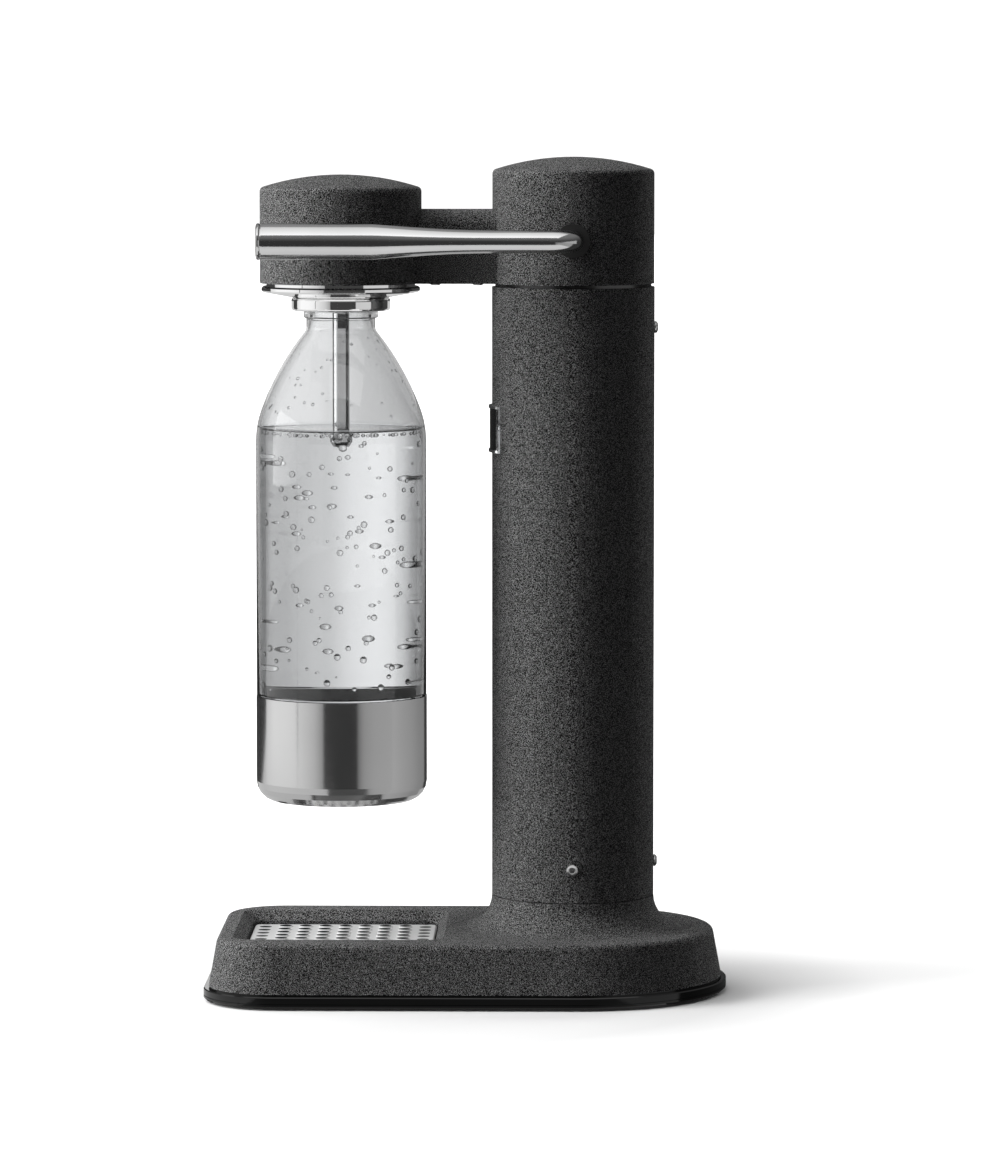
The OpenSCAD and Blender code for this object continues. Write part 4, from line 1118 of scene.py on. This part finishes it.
@dataclass
class GlowCard:
    """A card, graded along one axis, that only mirrors or only clear pieces show."""

    name: str
    edge: Corners
    axis: str
    stops: tuple[Point, ...]
    seen: Seen = Seen.MIRRORED

    def build(self) -> None:
        """Set the card up; each stop is a place along the axis and its brightness."""
        sketch = Sketch(self.name, {"Base Color": grey(0.0), "Emission Strength": 1.0})
        place = sketch.out("ShaderNodeSeparateXYZ", self.axis, {0: sketch.coords()})
        sketch.glow(place, self.stops)
        sketch.material.cycles.emission_sampling = "NONE"
        card = sheet(self.name, self.edge, sketch.material)
        for rays in ("camera", "diffuse", "glossy", "transmission", "shadow"):
            setattr(card, "visible_" + rays, rays == self.seen.value)


@dataclass
class Studio:
    """Pale floor, soft lights and the camera at the photograph's angle."""

    eye: Place = (0.0726, -2.9, 0.4534)
    pitch: float = 4.942
    yaw: float = 1.113
    focal_px: float = 5864.0
    frame_px: float = 1167.0
    sensor_mm: float = 36.0
    clip_end: float = 100.0
    far_floor: float = 14.0
    light_from: Place = (-0.5, 0.15, 0.85)
    light_range: Point = (0.6, 1.0)
    light_levels: Point = (0.0, 2.1)
    through_range: Point = (0.4, 0.8)
    through_levels: Point = (0.45, 0.85)
    mirror_range: Point = (0.0, 0.7)
    mirror_levels: Point = (0.05, 0.26)
    backdrop: float = 1.1
    boxes: tuple[Softbox, ...] = (
        Softbox("side_strip", (-1.3, -0.35, 0.28), (0.0, 0.0, 0.28), 0.5, 0.6, 13.5),
        Softbox("upper_box", (-1.0, -0.3, 0.95), (0.0, 0.0, 0.2), 0.5, 0.5, 13.5),
        Softbox("front_wing", (-0.74, -0.82, 0.55), (0.0, 0.0, 0.55), 0.69, 1.7, 0.36),
        Softbox("low_strip", (0.75, -0.18, 0.0), (0.0, -0.18, 0.0), 3.0, 0.26, 0.73),
        Softbox("rim_strip", (0.9, 0.9, 0.5), (0.0, 0.0, 0.25), 0.4, 1.2, 4.5),
    )
    cards: tuple[GlowCard, ...] = (
        GlowCard("graded_card", upright((-0.75, 0.35), (0.65, 0.35), 0.0, 0.6), "X",
            ((-0.75, 0.2), (-0.46, 0.25), (-0.28, 0.52), (-0.215, 0.88), (-0.165, 1.08),
             (-0.137, 1.13), (-0.095, 1.04), (-0.0625, 0.78), (0.0, 0.6), (0.03, 0.52),
             (0.09, 0.51), (0.19, 0.33), (0.65, 0.28)), Seen.THROUGH),
        GlowCard("floor_card", lying((-0.125, -0.6), (0.1, 0.8), -MM), "Y",
            ((-0.6, 0.05), (-0.1, 0.08), (-0.05, 0.5), (0.0, 0.55), (0.2, 0.5), (0.5, 0.45),
             (0.8, 0.4))),
        GlowCard("left_floor", lying((-1.1, -0.6), (-0.135, 0.6), -MM), "X",
            ((-1.1, 0.8), (-0.135, 0.6))),
        GlowCard("lever_card", lying((-0.3, -0.36), (0.25, -0.065), 0.2), "Y",
            ((-0.36, 0.8), (-0.2, 0.95), (-0.065, 0.85))),
        GlowCard("back_card", upright((-0.2, 0.6), (0.03, 0.6), 0.06, 0.17), "X",
            ((-0.2, 1.1), (0.03, 1.1))),
        GlowCard("key_card", upright((-1.1, -0.62), (-1.1, 0.58), -0.3, 1.4), "Y",
            ((-0.62, 0.85), (-0.48, 0.92), (-0.2, 0.97), (0.2, 1.0), (0.58, 0.75))),
        GlowCard("wing_card", upright((-1.0, -0.59), (-0.48, -1.05), -0.3, 1.4), "X",
            ((-1.0, 0.83), (-0.8, 0.72), (-0.66, 0.62), (-0.48, 0.35))),
        GlowCard("front_card", upright((0.35, -0.95), (1.0, -0.1), -0.4, 0.2), "X",
            ((0.35, 0.2), (0.45, 0.38), (0.6, 0.45), (1.0, 0.5))),
        GlowCard("cup_card", upright((0.0105, -0.045), (0.0105, 0.05), 0.035, 0.15), "Y",
            ((-0.045, 0.5), (-0.009, 0.4), (0.013, 0.31), (0.05, 0.25))),
        GlowCard("cone_card", upright((-0.14, 0.06), (0.01, 0.06), 0.3, 0.342), "X",
            ((-0.14, 0.6), (0.01, 0.6))),
        GlowCard("under_card", lying((-14.0, -14.0), (14.0, 14.0), -MM), "Y",
            ((-14.0, 0.8), (-0.5, 0.8), (0.1, 0.5), (14.0, 0.45)), Seen.THROUGH),
        GlowCard("tube_card", upright((-0.6, -0.6), (-0.6, 0.12), 0.205, 0.5), "Y",
            ((-0.6, 0.6), (-0.35, 1.4), (-0.12, 2.8), (0.12, 2.8)), Seen.THROUGH),
        GlowCard("elbow_card", upright((0.7, -1.0), (0.7, 0.1), 0.2, 0.46), "Y",
            ((-1.0, 0.6), (0.1, 0.6))),
        GlowCard("top_card", lying((-0.45, -1.26), (0.8, 1.2), 1.45), "Y",
            ((-1.26, 1.75), (0.18, 1.0), (0.26, 0.4), (1.2, 0.3))),
    )

    def build_camera(self) -> None:
        """Set up the camera; the lens follows from the photograph's focal length in pixels."""
        lens = bpy.data.cameras.new("photo_camera")
        lens.sensor_width = self.sensor_mm
        lens.lens = self.focal_px * self.sensor_mm / self.frame_px
        lens.clip_end = self.clip_end
        camera = bpy.data.objects.new("photo_camera", lens)
        camera.location = self.eye
        pitch, yaw = math.radians(self.pitch), math.radians(self.yaw)
        flat = math.cos(pitch)
        ahead = Vector((-math.sin(yaw) * flat, math.cos(yaw) * flat, -math.sin(pitch)))
        camera.rotation_euler = ahead.to_track_quat("-Z", "Y").to_euler()
        bpy.context.scene.collection.objects.link(camera)
        bpy.context.scene.camera = camera

    def build_floor(self) -> None:
        """Lay the paper floor for the camera; cards stand for it in mirrors and clear pieces."""
        far = self.far_floor
        paper = PaperFloor().make("pale_floor")
        floor = sheet("paper_floor", lying((-far, -far), (far, far), 0.0), paper)
        floor.visible_glossy = False
        floor.visible_diffuse = False
        floor.visible_transmission = False

    def build_world(self) -> None:
        """Set a surround that glows from the upper left, with its own levels for each ray."""
        world = bpy.data.worlds.new("studio_surround")
        world.use_nodes = True
        sky = Nodes(world.node_tree)
        rays = sky.add("ShaderNodeLightPath").outputs
        around = sky.out("ShaderNodeTexCoord", "Generated")

        def ramp(along: Place, source: Point, levels: Point) -> NodeSocket:
            """Return a brightness that runs smoothly between levels along a direction."""
            values = {0: around, 1: along}
            share = sky.out("ShaderNodeVectorMath", "Value", values, operation="DOT_PRODUCT")
            return sky.span(share, source, levels, interpolation_type="SMOOTHSTEP")

        def choose(switch: str, other: NodeSocket, chosen: NodeSocket | float) -> NodeSocket:
            """Return one brightness for a kind of ray and another for the rest."""
            return sky.out("ShaderNodeMix", 0, {"Factor": rays[switch], 2: other, 3: chosen})

        shown = ramp(self.light_from, self.light_range, self.light_levels)
        through = ramp((0.0, 1.0, 0.0), self.through_range, self.through_levels)
        mirrored = ramp((0.0, 0.0, 1.0), self.mirror_range, self.mirror_levels)
        shown = choose("Is Transmission Ray", shown, through)
        shown = choose("Is Glossy Ray", shown, mirrored)
        shown = choose("Is Camera Ray", shown, self.backdrop)
        ground = sky.tree.nodes["Background"]
        sky.tree.links.new(shown, ground.inputs["Strength"])
        ground.inputs["Color"].default_value = grey(1.0)
        bpy.context.scene.world = world

    def build(self) -> None:
        """Build camera, floor, surround and lights."""
        bpy.context.scene.view_settings.view_transform = "Standard"
        self.build_camera()
        self.build_floor()
        self.build_world()
        for lamp in self.boxes + self.cards:
            lamp.build()


def main() -> None:
    """Dress the frame, build the bottle and the studio, and note the sizes."""
    logging.basicConfig(level=logging.INFO, format="%(name)s: %(message)s")
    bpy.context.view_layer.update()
    palette = Palette()
    palette.dress_nodes()
    Bottle(palette).build()
    Fasteners(palette[Slot.SCREW_STEEL]).build()
    DripGrid(palette).build()
    PlungerSpring(palette).build()
    Studio().build()


if __name__ == "__main__":
    main()
